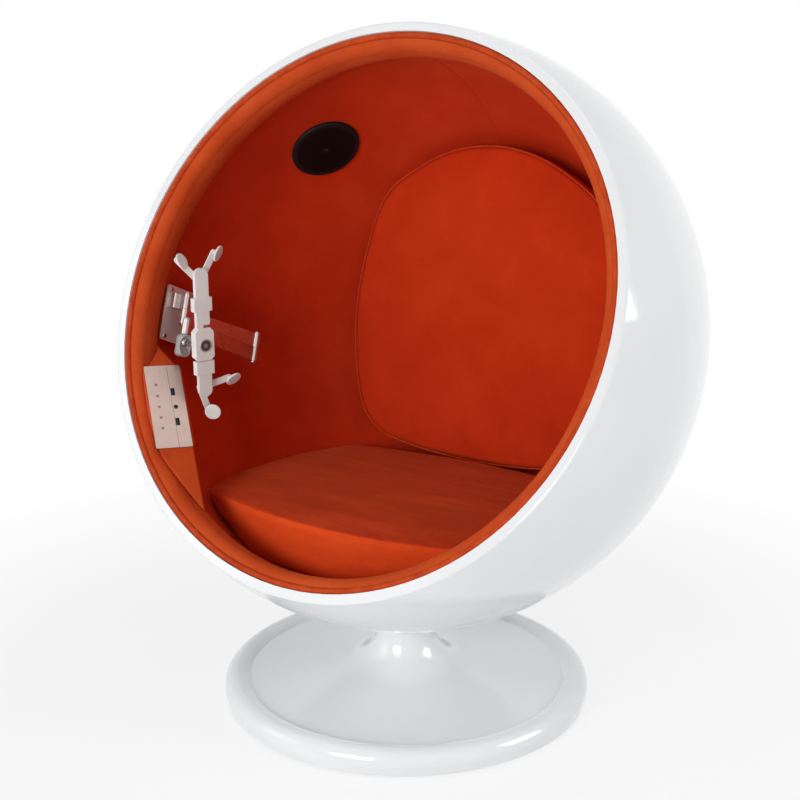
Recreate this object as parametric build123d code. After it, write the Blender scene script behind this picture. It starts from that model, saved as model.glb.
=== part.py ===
from build123d import *
import os
from math import cos, radians, sin, sqrt, tan

# Ball lounge chair on a swivel trumpet foot, with speakers, a media panel and a tablet holder.
# Millimetres, +Z up. The origin is on the floor on the swivel axis. The opening faces -Y,
# and the sitter's right hand is on the -X side.

os.makedirs("parts", exist_ok=True)

# Ball
BALL_R = 525.0
FOOT_HEIGHT = 163.0
FOOT_FLAT_CUT = 4.0
BALL_CENTRE_Z = FOOT_HEIGHT + BALL_R - FOOT_FLAT_CUT
SHELL_WALL = 6.0
OPENING_TILT = 23.6
OPENING_OFFSET = 0.369524 * BALL_R
RIM_WIDTH = 15.4
RIM_DEPTH = 14.0
RIM_EDGE_R = 4.0
FIT_GAP = 0.3

# Flat seat of the foot under the ball
FOOT_PAD_THICK = 8.0
FOOT_PAD_MARGIN = 13.0

# Lining of the ball
LINING_DEPTH = 45.0
LINING_INNER_R = BALL_R - LINING_DEPTH
LINING_THICK = 1.5
FOAM_END_OFFSET = 0.233333 * LINING_INNER_R

# Padded roll and piping round the opening
ROLL_CREST_RHO = 0.929167 * LINING_INNER_R
ROLL_CREST_OFFSET = 0.34375 * LINING_INNER_R
ROLL_NOSE_DROP = 6.5
WELT_R = 4.8

# Trumpet foot
FOOT_R = 338.0
FOOT_LIP_Z = 46.0
FOOT_LIP_R = FOOT_R - 22.0
FOOT_VALLEY_R = FOOT_R - 46.0
FOOT_VALLEY_Z = 35.0
FOOT_EDGE_INSET = 3.0
FOOT_WALL = 5.0
NECK_R = 54.0
NECK_BEND_R = 75.0
NECK_BEND_Z = 130.0
DISH_SLOPE = 14.0
NECK_GAP = 1.5

# Floor pad, ballast plate and column
PAD_THICK = 4.0
PAD_R = FOOT_R - 18.0
PLATE_THICK = 8.0
COLUMN_R = 38.0
COLUMN_WALL = 4.0
BASE_BOSS_R = 8.0
BASE_BOSS_CIRCLE_R = FOOT_R - 88.0
BASE_SCREW_COUNT = 6
BASE_SCREW_R = 3.0
BASE_SCREW_HEAD_R = 6.0
BASE_SCREW_HEAD_H = 3.5
BASE_SCREW_LENGTH = 22.0

# Swivel
SPINDLE_R = 15.0
RUNNING_GAP = 0.05
BUSH_LENGTH = 20.0
BUSH_FLANGE_THICK = 3.0
LOWER_BUSH_Z = 40.0
THRUST_THICK = 2.0
SWIVEL_PLATE_R = NECK_R - FOOT_WALL - 4.0
SWIVEL_PLATE_THICK = 8.0
RING_THICK = 2.0
RING_R = 20.0
RING_GROOVE_DEPTH = 1.5
MOUNT_PLATE_R = 72.0
FOOT_PAD_R = MOUNT_PLATE_R + FOOT_PAD_MARGIN
MOUNT_PLATE_THICK = 6.0
MOUNT_BOLT_COUNT = 4
MOUNT_BOLT_CIRCLE_R = 32.0
MOUNT_BOLT_R = 4.0
MOUNT_BOLT_HEAD_R = 7.0
MOUNT_BOLT_HEAD_H = 5.5

# Seat cushion and the foam block under it
SEAT_BLOCK_TOP_Z = BALL_CENTRE_Z - 0.833333 * LINING_INNER_R
SEAT_BLOCK_FRONT_Y = -0.291667 * LINING_INNER_R
SEAT_TILT = 1.7
SEAT_CORNER_X = 0.664583 * LINING_INNER_R
SEAT_CORNER_Y = -0.395833 * LINING_INNER_R
SEAT_FRONT_Y = -0.545833 * LINING_INNER_R
SEAT_SIDE_X = 0.69375 * LINING_INNER_R
SEAT_SIDE_Y = 0.020833 * LINING_INNER_R
SEAT_BACK_X = 0.558333 * LINING_INNER_R
SEAT_BACK_CORNER_Y = 0.45 * LINING_INNER_R
SEAT_BACK_Y = 0.5125 * LINING_INNER_R
SEAT_CORNER_R = 0.045833 * LINING_INNER_R
SEAT_THICK = 0.2125 * LINING_INNER_R
SEAT_CROWN = 0.01875 * LINING_INNER_R

# Back cushion and the foam block behind it
BACK_TILT = 5.0
BACK_FACE_Y = 0.59375 * LINING_INNER_R
BACK_FACE_Z = BALL_CENTRE_Z + 0.0125 * LINING_INNER_R
BACK_TOP = 0.616667 * LINING_INNER_R
BACK_SHOULDER_X = 0.375 * LINING_INNER_R
BACK_SHOULDER_Y = 0.491667 * LINING_INNER_R
BACK_UPPER_X = 0.558333 * LINING_INNER_R
BACK_UPPER_Y = 0.233333 * LINING_INNER_R
BACK_WAIST_X = 0.627083 * LINING_INNER_R
BACK_WAIST_Y = -0.1375 * LINING_INNER_R
BACK_LOWER_X = 0.591667 * LINING_INNER_R
BACK_LOWER_Y = -0.458333 * LINING_INNER_R
BACK_CORNER_X = 0.454167 * LINING_INNER_R
BACK_CORNER_Y = -0.625 * LINING_INNER_R
BACK_BOTTOM = -0.670833 * LINING_INNER_R
BACK_THICK = 0.129167 * LINING_INNER_R
BACK_CROWN = 0.025 * LINING_INNER_R
BACK_BLOCK_SCALE = 0.84
BACK_SHOULDER_OUT = 0.033333 * LINING_INNER_R
BACK_SHOULDER_UP = 0.029167 * LINING_INNER_R
BACK_CORNER_OUT = 0.022917 * LINING_INNER_R

# Speakers
SPEAKER_AZIMUTH = 56.7
SPEAKER_ELEVATION = 37.4
GRILLE_R = 67.5
GRILLE_THICK = 6.0
BASKET_FLANGE_R = GRILLE_R - 1.5
BASKET_FLANGE_THICK = 2.0
BASKET_TOP_R = GRILLE_R - 9.5
BASKET_BOTTOM_R = GRILLE_R - 33.5
BASKET_DEPTH = 24.0
BASKET_WALL = 2.0
CONE_R = GRILLE_R - 15.5
CONE_BOTTOM_R = 14.0
CONE_DEPTH = 16.0
CONE_WALL = 1.2
MAGNET_R = 28.0
MAGNET_THICK = 11.0
SPEAKER_HOLE_R = GRILLE_R - 5.5

# Power inlet, low at the back of the ball
INLET_ELEVATION = -55.0
INLET_FLANGE_R = 11.0
INLET_FLANGE_THICK = 2.0
INLET_BODY_R = 7.5
INLET_BODY_LENGTH = 24.0
INLET_HOLE_R = 3.2
INLET_HOLE_DEPTH = 9.0
INLET_PIN_R = 1.05
INLET_CAVITY_R = 9.0

# Media panel: a wedge pod on the roll, its two plates and what they carry
PANEL_CENTRE = (
    -0.733333 * LINING_INNER_R,
    -0.4875 * LINING_INNER_R,
    BALL_CENTRE_Z - 0.28125 * LINING_INNER_R,
)
PANEL_NORMAL = (0.6226, -0.4126, 0.666)
PANEL_ACROSS = (0.585, 0.81, -0.045)
PANEL_WIDTH = 0.135417 * LINING_INNER_R
PANEL_HEIGHT = 0.341667 * LINING_INNER_R
PANEL_THICK = 2.5
PANEL_CORNER_R = 3.0
PANEL_SEAM_X = 8.5
PANEL_SEAM_GAP = 0.5
POD_MARGIN_FRONT = 3.0
POD_MARGIN_BACK = 6.0
POD_MARGIN_TOP = 4.0
POD_MARGIN_BOTTOM = 4.0
POD_DEPTH = 0.3125 * LINING_INNER_R
POD_EDGE_R = 6.0
POD_TOP_POINT = (-46.0, -60.0, -8.0)
POD_FOOT_ANGLE = 150.0
POD_FOOT_OFFSET = 0.3125 * LINING_INNER_R
POD_FRONT_OFFSET = OPENING_OFFSET - 8.0
HOUSING_MARGIN = 5.0
HOUSING_DEPTH = 22.0
HOUSING_WALL = 2.0
BOARD_THICK = 1.6
BOARD_DEPTH = 15.0
USB_PLACES = ((12.8, 28.0), (12.8, -32.0))
USB_WIDTH = 7.0
USB_HEIGHT = 14.5
USB_WALL = 0.8
USB_CAVITY_DEPTH = 10.0
USB_TONGUE = 1.9
JACK_PLACE = (14.0, -2.3)
JACK_R = 4.0
JACK_BORE_R = 1.8
JACK_BORE_DEPTH = 11.0
ICON_X = -15.5
ICON_YS = (43.5, 21.0, -0.5, -22.0, -43.0)
ICON_R = 2.6
ICON_THICK = 0.4
ICON_PROUD = 0.2

# Wall plate of the tablet holder
PLATE_OFFSET = 0.158333 * LINING_INNER_R
PLATE_RHO = 0.941667 * LINING_INNER_R
PLATE_ANGLE = 95.3
PLATE_WIDTH = 80.0
PLATE_HEIGHT = 104.0
WALL_PLATE_THICK = 3.0
PLATE_CORNER_R = 4.0
WALL_BLOCK_FRONT = 0.5 * PLATE_WIDTH - 6.0
WALL_BLOCK_BACK = 0.5 * PLATE_WIDTH - 2.0
WALL_BLOCK_HEIGHT = PLATE_HEIGHT - 6.0
WALL_BLOCK_DEPTH = 60.0
PLATE_SCREW_X = 0.5 * PLATE_WIDTH - 9.5
PLATE_SCREW_Y = 0.5 * PLATE_HEIGHT - 8.0
PLATE_SCREW_R = 2.0
PLATE_SCREW_HEAD_R = 4.5
PLATE_SCREW_HEAD_H = 2.2
PLATE_SCREW_LENGTH = 10.5
SCREW_HOLE_GAP = 0.1

# Folding arm, in the frame of the wall plate
HINGE_X = -19.0
HINGE_Z = 30.0
BARREL_R = 8.0
PIN_R = 4.0
PIN_HEAD_R = 6.0
PIN_HEAD_H = 2.0
LINK_HEIGHT = 27.5
LINK_GAP = 0.6
LINK_THICK = 5.0
BRACKET_BOTTOM_Y = 9.5
BRACKET_WIDTH = 28.0
BRACKET_DEPTH = 24.0
BRACKET_WEB = 9.0
LINK_1_LENGTH = 0.420833 * LINING_INNER_R
LINK_1_ANGLE = 5.5
LINK_2_LENGTH = 0.50625 * LINING_INNER_R
LINK_2_ANGLE = 5.8

# Ball joint at the end of the arm
CLAMP_R = 14.0
CLAMP_HEIGHT = 40.0
CLAMP_EDGE_R = 7.0
CLAMP_SLIT = 1.4
BALL_DROP = 14.0
JOINT_BALL_R = 9.0
JOINT_BALL_GAP = 0.08
SOCKET_CONE_ANGLE = 55.0
STUD_NECK_R = 4.0
STUD_LENGTH = 0.110417 * LINING_INNER_R
STUD_FLANGE_R = 11.0
STUD_FLANGE_THICK = 4.0
STUD_PIN_R = 6.0
STUD_PIN_LENGTH = 6.0

# Tablet holder, in its own upright frame
HOLDER_AZIMUTH = -20.0
HOLDER_RISE = 8.0
BODY_WIDTH = 38.0
BODY_TOP = 31.0
BODY_BOTTOM = -28.0
BODY_DEPTH = 15.0
BODY_CHAMFER = 7.0
BODY_BOSS_R = 12.0
BODY_BOSS_DEPTH = 6.0
BAR_WIDTH = 26.0
BAR_THICK = 8.0
BAR_GAP = 0.3
TAIL_GAP = 0.6
TAIL_OVERLAP = 23.0
BAR_SHOULDER = 5.0
UPPER_TOP = 0.285417 * LINING_INNER_R
LOWER_BOTTOM = -0.195833 * LINING_INNER_R
COLLAR_WIDTH = 37.0
COLLAR_HEIGHT = 24.0
COLLAR_DEPTH = 13.0
UPPER_COLLAR_LIFT = 30.0
LOWER_COLLAR_DROP = 0.8
BADGE_R = 11.5
BADGE_THICK = 2.0
CLAW_SIDE = 6.6
CLAW_INSET = 17.0
CLAW_LENGTH = 0.1 * LINING_INNER_R
CLAW_WIDTH = 11.0
CLAW_THICK = 4.0
CLAW_GAP = 0.4
RIVET_R = 2.5
RIVET_LENGTH = 5.5
STEM_R = 3.5
PAD_FORWARD = 9.0
CLAW_PAD_R = 14.5
CLAW_PAD_THICK = 4.0
CLAW_PAD_LEAN = 40.0
CLAW_ANGLES = {"upper_left": 134.0, "upper_right": 58.0, "lower_right": 10.0, "lower_left": -71.0}

# Frames
CENTRE = Vector(0, 0, BALL_CENTRE_Z)
TILT = radians(OPENING_TILT)
OPEN_NORMAL = Vector(0, -cos(TILT), sin(TILT))
OPEN_UP = Vector(0, sin(TILT), cos(TILT))
X_AXIS = Vector(1, 0, 0)
OPENING = Plane(origin=CENTRE, x_dir=X_AXIS, z_dir=OPEN_NORMAL)

# Worked out sizes
SHELL_INNER_R = BALL_R - SHELL_WALL
FOAM_OUTER_R = SHELL_INNER_R - FIT_GAP
FOAM_INNER_R = LINING_INNER_R + LINING_THICK
CABIN_R = LINING_INNER_R - FIT_GAP
RIM_BACK_OFFSET = OPENING_OFFSET - RIM_DEPTH
RIM_INNER_RHO = sqrt(BALL_R ** 2 - OPENING_OFFSET ** 2) - RIM_WIDTH
FLAT_Z = FOOT_HEIGHT
MOUNT_SEAT_Z = FLAT_Z + FOOT_PAD_THICK
PLATE_TOP_Z = PAD_THICK + PLATE_THICK
NECK_TOP_Z = FLAT_Z - NECK_GAP
SWIVEL_PLATE_Z = FLAT_Z - SWIVEL_PLATE_THICK
COLUMN_TOP_Z = SWIVEL_PLATE_Z - THRUST_THICK - BUSH_FLANGE_THICK
COLUMN_BORE_R = COLUMN_R - COLUMN_WALL
BOTTOM = (Align.CENTER, Align.CENTER, Align.MIN)
TOP = (Align.CENTER, Align.CENTER, Align.MAX)


def rho_at(radius, offset):
    """Distance from the opening's axis to a sphere of this radius, at this offset."""
    return sqrt(radius ** 2 - offset ** 2)


def about_axis(edges):
    """Solid of revolution about the opening's axis from edges in (rho, 0, offset)."""
    return OPENING * revolve(make_face(edges), Axis.Z)


def upright(edges):
    """Solid of revolution about the swivel axis from edges in (radius, 0, height)."""
    return revolve(make_face(edges), Axis.Z)


def at(rho, offset):
    return Vector(rho, 0, offset)


def ball_arc(radius, offset_a, offset_b):
    """Arc of a great circle between two offsets along the opening's axis."""
    middle = 0.5 * (offset_a + offset_b)
    a = at(rho_at(radius, offset_a), offset_a)
    b = at(rho_at(radius, offset_b), offset_b)
    return ThreePointArc(a, at(rho_at(radius, middle), middle), b)


def cabin(radius):
    return Pos(CENTRE) * Sphere(radius)


def tube(outer, inner, bottom, top):
    height = top - bottom
    return Pos(0, 0, bottom) * (Cylinder(outer, height, align=BOTTOM) - Cylinder(inner, height, align=BOTTOM))


def rod(radius, bottom, top):
    return Pos(0, 0, bottom) * Cylinder(radius, top - bottom, align=BOTTOM)


def rod_y(radius, low, high):
    """Rod along the local Y axis."""
    return Rot(-90, 0, 0) * rod(radius, low, high)


def ring_places(radius, count):
    return [Rot(0, 0, 360 * i / count) * Pos(radius, 0, 0) for i in range(count)]


def radial_plane(azimuth_from_back, elevation, radius):
    """Frame on a sphere about the ball's centre, with +Z pointing at the centre."""
    a = radians(azimuth_from_back)
    e = radians(elevation)
    out = Vector(sin(a) * cos(e), cos(a) * cos(e), sin(e))
    level = Vector(cos(a), -sin(a), 0)
    return Plane(origin=CENTRE + out * radius, x_dir=level, z_dir=out * -1)


# Frame of the wall plate: X goes back along the wall, Y up along it, Z away from it
WALL_ANGLE = radians(PLATE_ANGLE)
WALL_OUT = OPEN_UP * cos(WALL_ANGLE) - X_AXIS * sin(WALL_ANGLE)
WALL = Plane(
    origin=CENTRE + OPEN_NORMAL * PLATE_OFFSET + WALL_OUT * PLATE_RHO,
    x_dir=OPEN_NORMAL * -1,
    z_dir=WALL_OUT * -1,
)
PANEL = Plane(origin=PANEL_CENTRE, x_dir=PANEL_ACROSS, z_dir=PANEL_NORMAL)
BACK = Plane(
    origin=(0, BACK_FACE_Y, BACK_FACE_Z),
    x_dir=X_AXIS,
    z_dir=(0, -cos(radians(BACK_TILT)), sin(radians(BACK_TILT))),
)
SPEAKERS = {
    "left": radial_plane(SPEAKER_AZIMUTH, SPEAKER_ELEVATION, LINING_INNER_R),
    "right": radial_plane(-SPEAKER_AZIMUTH, SPEAKER_ELEVATION, LINING_INNER_R),
}
INLET = radial_plane(0, INLET_ELEVATION, BALL_R)

# Arm levels along the wall frame's Y, from the bracket down
LINK_1_TOP = BRACKET_BOTTOM_Y - LINK_GAP
LINK_1_BOTTOM = LINK_1_TOP - LINK_HEIGHT
LINK_2_TOP = LINK_1_BOTTOM - LINK_GAP
LINK_2_BOTTOM = LINK_2_TOP - LINK_HEIGHT
BRACKET_TOP_Y = BRACKET_BOTTOM_Y + LINK_HEIGHT
CLAMP_TOP = LINK_2_BOTTOM - LINK_GAP
ELBOW_X = HINGE_X + LINK_1_LENGTH * cos(radians(LINK_1_ANGLE))
ELBOW_Z = HINGE_Z + LINK_1_LENGTH * sin(radians(LINK_1_ANGLE))
WRIST_X = ELBOW_X - LINK_2_LENGTH * cos(radians(LINK_2_ANGLE))
WRIST_Z = ELBOW_Z + LINK_2_LENGTH * sin(radians(LINK_2_ANGLE))
BALL_Y = CLAMP_TOP - BALL_DROP

# Upright frame of the holder: X to its right, Y up, Z out of its face, origin on the stud's axis
HOLDER_DIR = Vector(cos(radians(HOLDER_AZIMUTH)), sin(radians(HOLDER_AZIMUTH)), 0)
HOLDER_RIGHT = Vector(-HOLDER_DIR.Y, HOLDER_DIR.X, 0)
JOINT_BALL = WALL.from_local_coords(Vector(WRIST_X, BALL_Y, WRIST_Z))
STUD = Plane(origin=JOINT_BALL, x_dir=HOLDER_RIGHT, z_dir=HOLDER_DIR)
HOLDER_DEPTH = STUD_LENGTH + STUD_FLANGE_THICK + BODY_BOSS_DEPTH + 0.5 * BODY_DEPTH + LINK_GAP
HOLDER = Plane(
    origin=JOINT_BALL + HOLDER_DIR * HOLDER_DEPTH + Vector(0, 0, HOLDER_RISE),
    x_dir=HOLDER_RIGHT,
    z_dir=HOLDER_DIR,
)


# Base

def foot_profile(inset):
    """Closed half section of the trumpet, its outer skin moved inwards by inset."""
    bend = NECK_BEND_R + inset
    slope = radians(DISH_SLOPE)
    bend_centre = at(NECK_R + NECK_BEND_R, NECK_BEND_Z)
    neck_r = NECK_R - inset
    dish_top = bend_centre + at(-bend * sin(slope), -bend * cos(slope))
    mid = 0.5 * (slope + radians(90))
    bend_mid = bend_centre + at(-bend * sin(mid), -bend * cos(mid))
    valley = at(FOOT_VALLEY_R, FOOT_VALLEY_Z - inset)
    dish_half = 0.5 * slope
    dish_span = valley.X - dish_top.X
    dish_mid = at(dish_top.X + 0.5 * dish_span, valley.Z + 0.25 * dish_span * tan(dish_half))
    lip = at(FOOT_LIP_R, FOOT_LIP_Z - inset)
    lip_rise = 0.78 * (FOOT_LIP_Z - FOOT_VALLEY_Z)
    lip_in = at(0.5 * (FOOT_VALLEY_R + FOOT_LIP_R), FOOT_VALLEY_Z + lip_rise - inset)
    side = at(FOOT_R - inset, 0.45 * FOOT_LIP_Z)
    shoulder = at(FOOT_R - inset - 6, 0.83 * FOOT_LIP_Z - 0.6 * inset)
    foot = at(FOOT_R - FOOT_EDGE_INSET - inset, PAD_THICK)
    return [
        Line(at(0, PAD_THICK), at(0, NECK_TOP_Z)),
        Line(at(0, NECK_TOP_Z), at(neck_r, NECK_TOP_Z)),
        Line(at(neck_r, NECK_TOP_Z), at(neck_r, NECK_BEND_Z)),
        ThreePointArc(at(neck_r, NECK_BEND_Z), bend_mid, dish_top),
        ThreePointArc(dish_top, dish_mid, valley),
        ThreePointArc(valley, lip_in, lip),
        ThreePointArc(lip, shoulder, side),
        Line(side, foot),
        Line(foot, at(0, PAD_THICK)),
    ]


def base_shell():
    """Fibreglass trumpet cover with screw bosses under its dish."""
    inside = upright(foot_profile(FOOT_WALL))
    cover = upright(foot_profile(0)) - inside
    boss = Cylinder(BASE_BOSS_R, FOOT_VALLEY_Z, align=BOTTOM)
    places = ring_places(BASE_BOSS_CIRCLE_R, BASE_SCREW_COUNT)
    bosses = Part() + [place * Pos(0, 0, PLATE_TOP_Z) * boss for place in places]
    cover += bosses & inside
    pilot = Cylinder(BASE_SCREW_R, BASE_SCREW_LENGTH - PLATE_THICK + BASE_SCREW_HEAD_H, align=BOTTOM)
    for place in places:
        cover -= place * Pos(0, 0, PLATE_TOP_Z) * pilot
    return cover - rod(NECK_R - FOOT_WALL, NECK_BEND_Z, FLAT_Z)


def base_plate():
    """Steel ballast disc that closes the foot and carries the column."""
    plate = rod(FOOT_R - FOOT_EDGE_INSET - FOOT_WALL - FIT_GAP, PAD_THICK, PLATE_TOP_Z)
    for place in ring_places(BASE_BOSS_CIRCLE_R, BASE_SCREW_COUNT):
        plate -= place * rod(BASE_SCREW_R + SCREW_HOLE_GAP, 0, PLATE_TOP_Z + 1)
        plate -= place * rod(BASE_SCREW_HEAD_R + FIT_GAP, 0, PAD_THICK + BASE_SCREW_HEAD_H)
    return plate


def base_screw():
    head = rod(BASE_SCREW_HEAD_R, PAD_THICK, PAD_THICK + BASE_SCREW_HEAD_H)
    return head + rod(BASE_SCREW_R - SCREW_HOLE_GAP, PAD_THICK, PAD_THICK + BASE_SCREW_LENGTH)


def bush(bottom, flange):
    """Plastic sleeve pressed into the column, with a thrust flange on the upper one."""
    sleeve = rod(COLUMN_BORE_R, bottom, bottom + BUSH_LENGTH)
    if flange:
        sleeve += rod(COLUMN_R, bottom + BUSH_LENGTH, bottom + BUSH_LENGTH + BUSH_FLANGE_THICK)
    return sleeve - rod(SPINDLE_R + RUNNING_GAP, 0, FLAT_Z)


def swivel_spindle():
    """Spindle welded under the plate that bolts to the ball."""
    ring_top = LOWER_BUSH_Z - FIT_GAP
    spindle = rod(SPINDLE_R, ring_top - 3 * RING_THICK, SWIVEL_PLATE_Z)
    spindle += rod(SWIVEL_PLATE_R, SWIVEL_PLATE_Z, FLAT_Z)
    spindle -= tube(2 * SPINDLE_R, SPINDLE_R - RING_GROOVE_DEPTH, ring_top - RING_THICK, ring_top)
    for place in ring_places(MOUNT_BOLT_CIRCLE_R, MOUNT_BOLT_COUNT):
        spindle -= place * rod(MOUNT_BOLT_R + SCREW_HOLE_GAP, SWIVEL_PLATE_Z - 1, FLAT_Z + 1)
    return spindle


def retaining_ring():
    top = LOWER_BUSH_Z - FIT_GAP
    inner = SPINDLE_R - RING_GROOVE_DEPTH + 0.5 * SCREW_HOLE_GAP
    ring = tube(RING_R, inner, top - RING_THICK, top)
    return ring - Pos(0, RING_R, top - RING_THICK) * Box(SPINDLE_R, RING_R, 4 * RING_THICK)


def mount_plate():
    plate = rod(MOUNT_PLATE_R, MOUNT_SEAT_Z, MOUNT_SEAT_Z + MOUNT_PLATE_THICK)
    hole = rod(MOUNT_BOLT_R + SCREW_HOLE_GAP, 0, BALL_CENTRE_Z)
    for place in ring_places(MOUNT_BOLT_CIRCLE_R, MOUNT_BOLT_COUNT):
        plate -= place * hole
    return plate


def mount_bolt():
    top = MOUNT_SEAT_Z + MOUNT_PLATE_THICK
    head = Pos(0, 0, top) * extrude(RegularPolygon(MOUNT_BOLT_HEAD_R, 6), MOUNT_BOLT_HEAD_H)
    return head + rod(MOUNT_BOLT_R, SWIVEL_PLATE_Z, top)


def bolt_group(make, circle_r, count):
    return Compound(children=[place * make() for place in ring_places(circle_r, count)])


# Ball

def beyond(offset):
    """Everything in front of this offset along the opening's axis."""
    return OPENING * Pos(0, 0, offset) * Box(3 * BALL_R, 3 * BALL_R, BALL_R, align=BOTTOM)


def outer_shell():
    """Ball of fibreglass, cut by the opening, with a returned rim and a flat seat for the foot."""
    shell = cabin(BALL_R) - rod(BALL_R, 0, FLAT_Z) - beyond(OPENING_OFFSET)
    rim_rho = rho_at(BALL_R, OPENING_OFFSET)
    rim = [e for e in shell.edges().filter_by(GeomType.CIRCLE) if abs(e.radius - rim_rho) < 1]
    shell = fillet(rim, RIM_EDGE_R)
    hollow = cabin(SHELL_INNER_R) - rod(BALL_R, 0, MOUNT_SEAT_Z) - beyond(RIM_BACK_OFFSET)
    mouth = OPENING * Cylinder(RIM_INNER_RHO, OPENING_OFFSET + BALL_R, align=BOTTOM)
    shell = shell - hollow - mouth
    for place in ring_places(MOUNT_BOLT_CIRCLE_R, MOUNT_BOLT_COUNT):
        shell -= place * rod(MOUNT_BOLT_R + SCREW_HOLE_GAP, FLAT_Z - 1, MOUNT_SEAT_Z + 1)
    return shell - inlet_hole(INLET_BODY_R + FIT_GAP)


def bowl(outer, inner):
    """Part of a hollow ball behind the roll, open where the foot's bolts and the fittings go in."""
    layer = about_axis([
        ball_arc(outer, -outer, FOAM_END_OFFSET - FIT_GAP),
        Line(at(rho_at(outer, FOAM_END_OFFSET - FIT_GAP), FOAM_END_OFFSET - FIT_GAP),
             at(rho_at(inner, FOAM_END_OFFSET - FIT_GAP), FOAM_END_OFFSET - FIT_GAP)),
        ball_arc(inner, FOAM_END_OFFSET - FIT_GAP, -inner),
        Line(at(0, -inner), at(0, -outer)),
    ])
    layer -= rod(FOOT_PAD_R, 0, BALL_CENTRE_Z - 0.8 * LINING_INNER_R)
    for frame in SPEAKERS.values():
        layer -= frame * Cylinder(SPEAKER_HOLE_R, BALL_R - 0.8 * LINING_INNER_R)
    layer -= housing_space(FIT_GAP)
    return layer


def inlet_hole(radius):
    length = 2 * INLET_BODY_LENGTH + FIT_GAP
    return INLET * Pos(0, 0, -INLET_BODY_LENGTH) * Cylinder(radius, length, align=BOTTOM)


def roll_profile(clear):
    """Half section of the padded roll, moved outwards from its skin by clear."""
    welt_seat = OPENING_OFFSET - 1.4 - 2 * WELT_R - FIT_GAP
    nose_rho = RIM_INNER_RHO - FIT_GAP - 2 * WELT_R - FIT_GAP
    nose = at(nose_rho - clear, OPENING_OFFSET - ROLL_NOSE_DROP + clear)
    crest = at(ROLL_CREST_RHO - clear, ROLL_CREST_OFFSET)
    front_mid = at(ROLL_CREST_RHO + 0.27 * (nose.X - crest.X), crest.Z + 0.68 * (nose.Z - crest.Z))
    foam_rho = rho_at(LINING_INNER_R, FOAM_END_OFFSET)
    tail = at(foam_rho - clear, FOAM_END_OFFSET)
    back_mid = at(crest.X + 0.16 * (tail.X - crest.X), crest.Z + 0.55 * (tail.Z - crest.Z))
    out_a = at(rho_at(FOAM_OUTER_R, FOAM_END_OFFSET), FOAM_END_OFFSET)
    out_b = at(rho_at(FOAM_OUTER_R, RIM_BACK_OFFSET - FIT_GAP), RIM_BACK_OFFSET - FIT_GAP)
    return [
        ThreePointArc(nose, front_mid, crest),
        ThreePointArc(crest, back_mid, tail),
        Line(tail, out_a),
        ball_arc(FOAM_OUTER_R, FOAM_END_OFFSET, RIM_BACK_OFFSET - FIT_GAP),
        Line(out_b, at(RIM_INNER_RHO - FIT_GAP, RIM_BACK_OFFSET - FIT_GAP)),
        Line(at(RIM_INNER_RHO - FIT_GAP, RIM_BACK_OFFSET - FIT_GAP), at(RIM_INNER_RHO - FIT_GAP, welt_seat)),
        Line(at(RIM_INNER_RHO - FIT_GAP, welt_seat), at(nose_rho - clear, welt_seat)),
        Line(at(nose_rho - clear, welt_seat), nose),
    ]


def rim_welt():
    rho = RIM_INNER_RHO - FIT_GAP - WELT_R
    return OPENING * Pos(0, 0, OPENING_OFFSET - 1.4 - WELT_R) * Torus(rho, WELT_R)


# Cushions

def seat_outline(scale, height):
    """Plan of the seat cushion: bowed front and sides, straight back, rounded corners."""
    front = Vector(0, SEAT_FRONT_Y * scale, height)
    fr = Vector(SEAT_CORNER_X * scale, SEAT_CORNER_Y * scale, height)
    side = Vector(SEAT_SIDE_X * scale, SEAT_SIDE_Y * scale, height)
    br = Vector(SEAT_BACK_X * scale, SEAT_BACK_CORNER_Y * scale, height)
    back = Vector(0, SEAT_BACK_Y * scale, height)

    def flip(v):
        return Vector(-v.X, v.Y, v.Z)

    edges = [
        ThreePointArc(flip(fr), front, fr),
        ThreePointArc(fr, side, br),
        ThreePointArc(br, back, flip(br)),
        ThreePointArc(flip(br), flip(side), flip(fr)),
    ]
    face = make_face(edges)
    return fillet(face.vertices(), SEAT_CORNER_R * scale)


def seat_cushion():
    """Crowned cushion with a tall front, its lower sides shaped by the bowl that it sits in."""
    base = SEAT_BLOCK_TOP_Z + FIT_GAP
    top = base + SEAT_THICK
    steps = (
        (0.900, base - SEAT_CROWN),
        (0.930, base + 0.20 * SEAT_THICK),
        (0.965, base + 0.60 * SEAT_THICK),
        (0.980, base + 0.86 * SEAT_THICK),
        (0.975, base + 0.96 * SEAT_THICK),
        (0.955, top + 0.10 * SEAT_CROWN),
        (0.850, top + 0.50 * SEAT_CROWN),
        (0.650, top + 0.85 * SEAT_CROWN),
        (0.350, top + SEAT_CROWN),
    )
    pad = loft([seat_outline(scale, height) for scale, height in steps], ruled=True)
    turn = Pos(0, 0, top) * Rot(-SEAT_TILT, 0, 0) * Pos(0, 0, -top)
    pad = turn * pad
    return (pad - rod(BALL_R, 0, base)) & cabin(CABIN_R)


def seat_block():
    above = Box(3 * BALL_R, 3 * BALL_R, 3 * BALL_R, align=BOTTOM)
    block = cabin(CABIN_R) - Pos(0, 0, SEAT_BLOCK_TOP_Z) * above
    ahead = Box(3 * BALL_R, BALL_R, 3 * BALL_R, align=(Align.CENTER, Align.MAX, Align.CENTER))
    return block - Pos(0, SEAT_BLOCK_FRONT_Y, 0) * ahead


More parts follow.
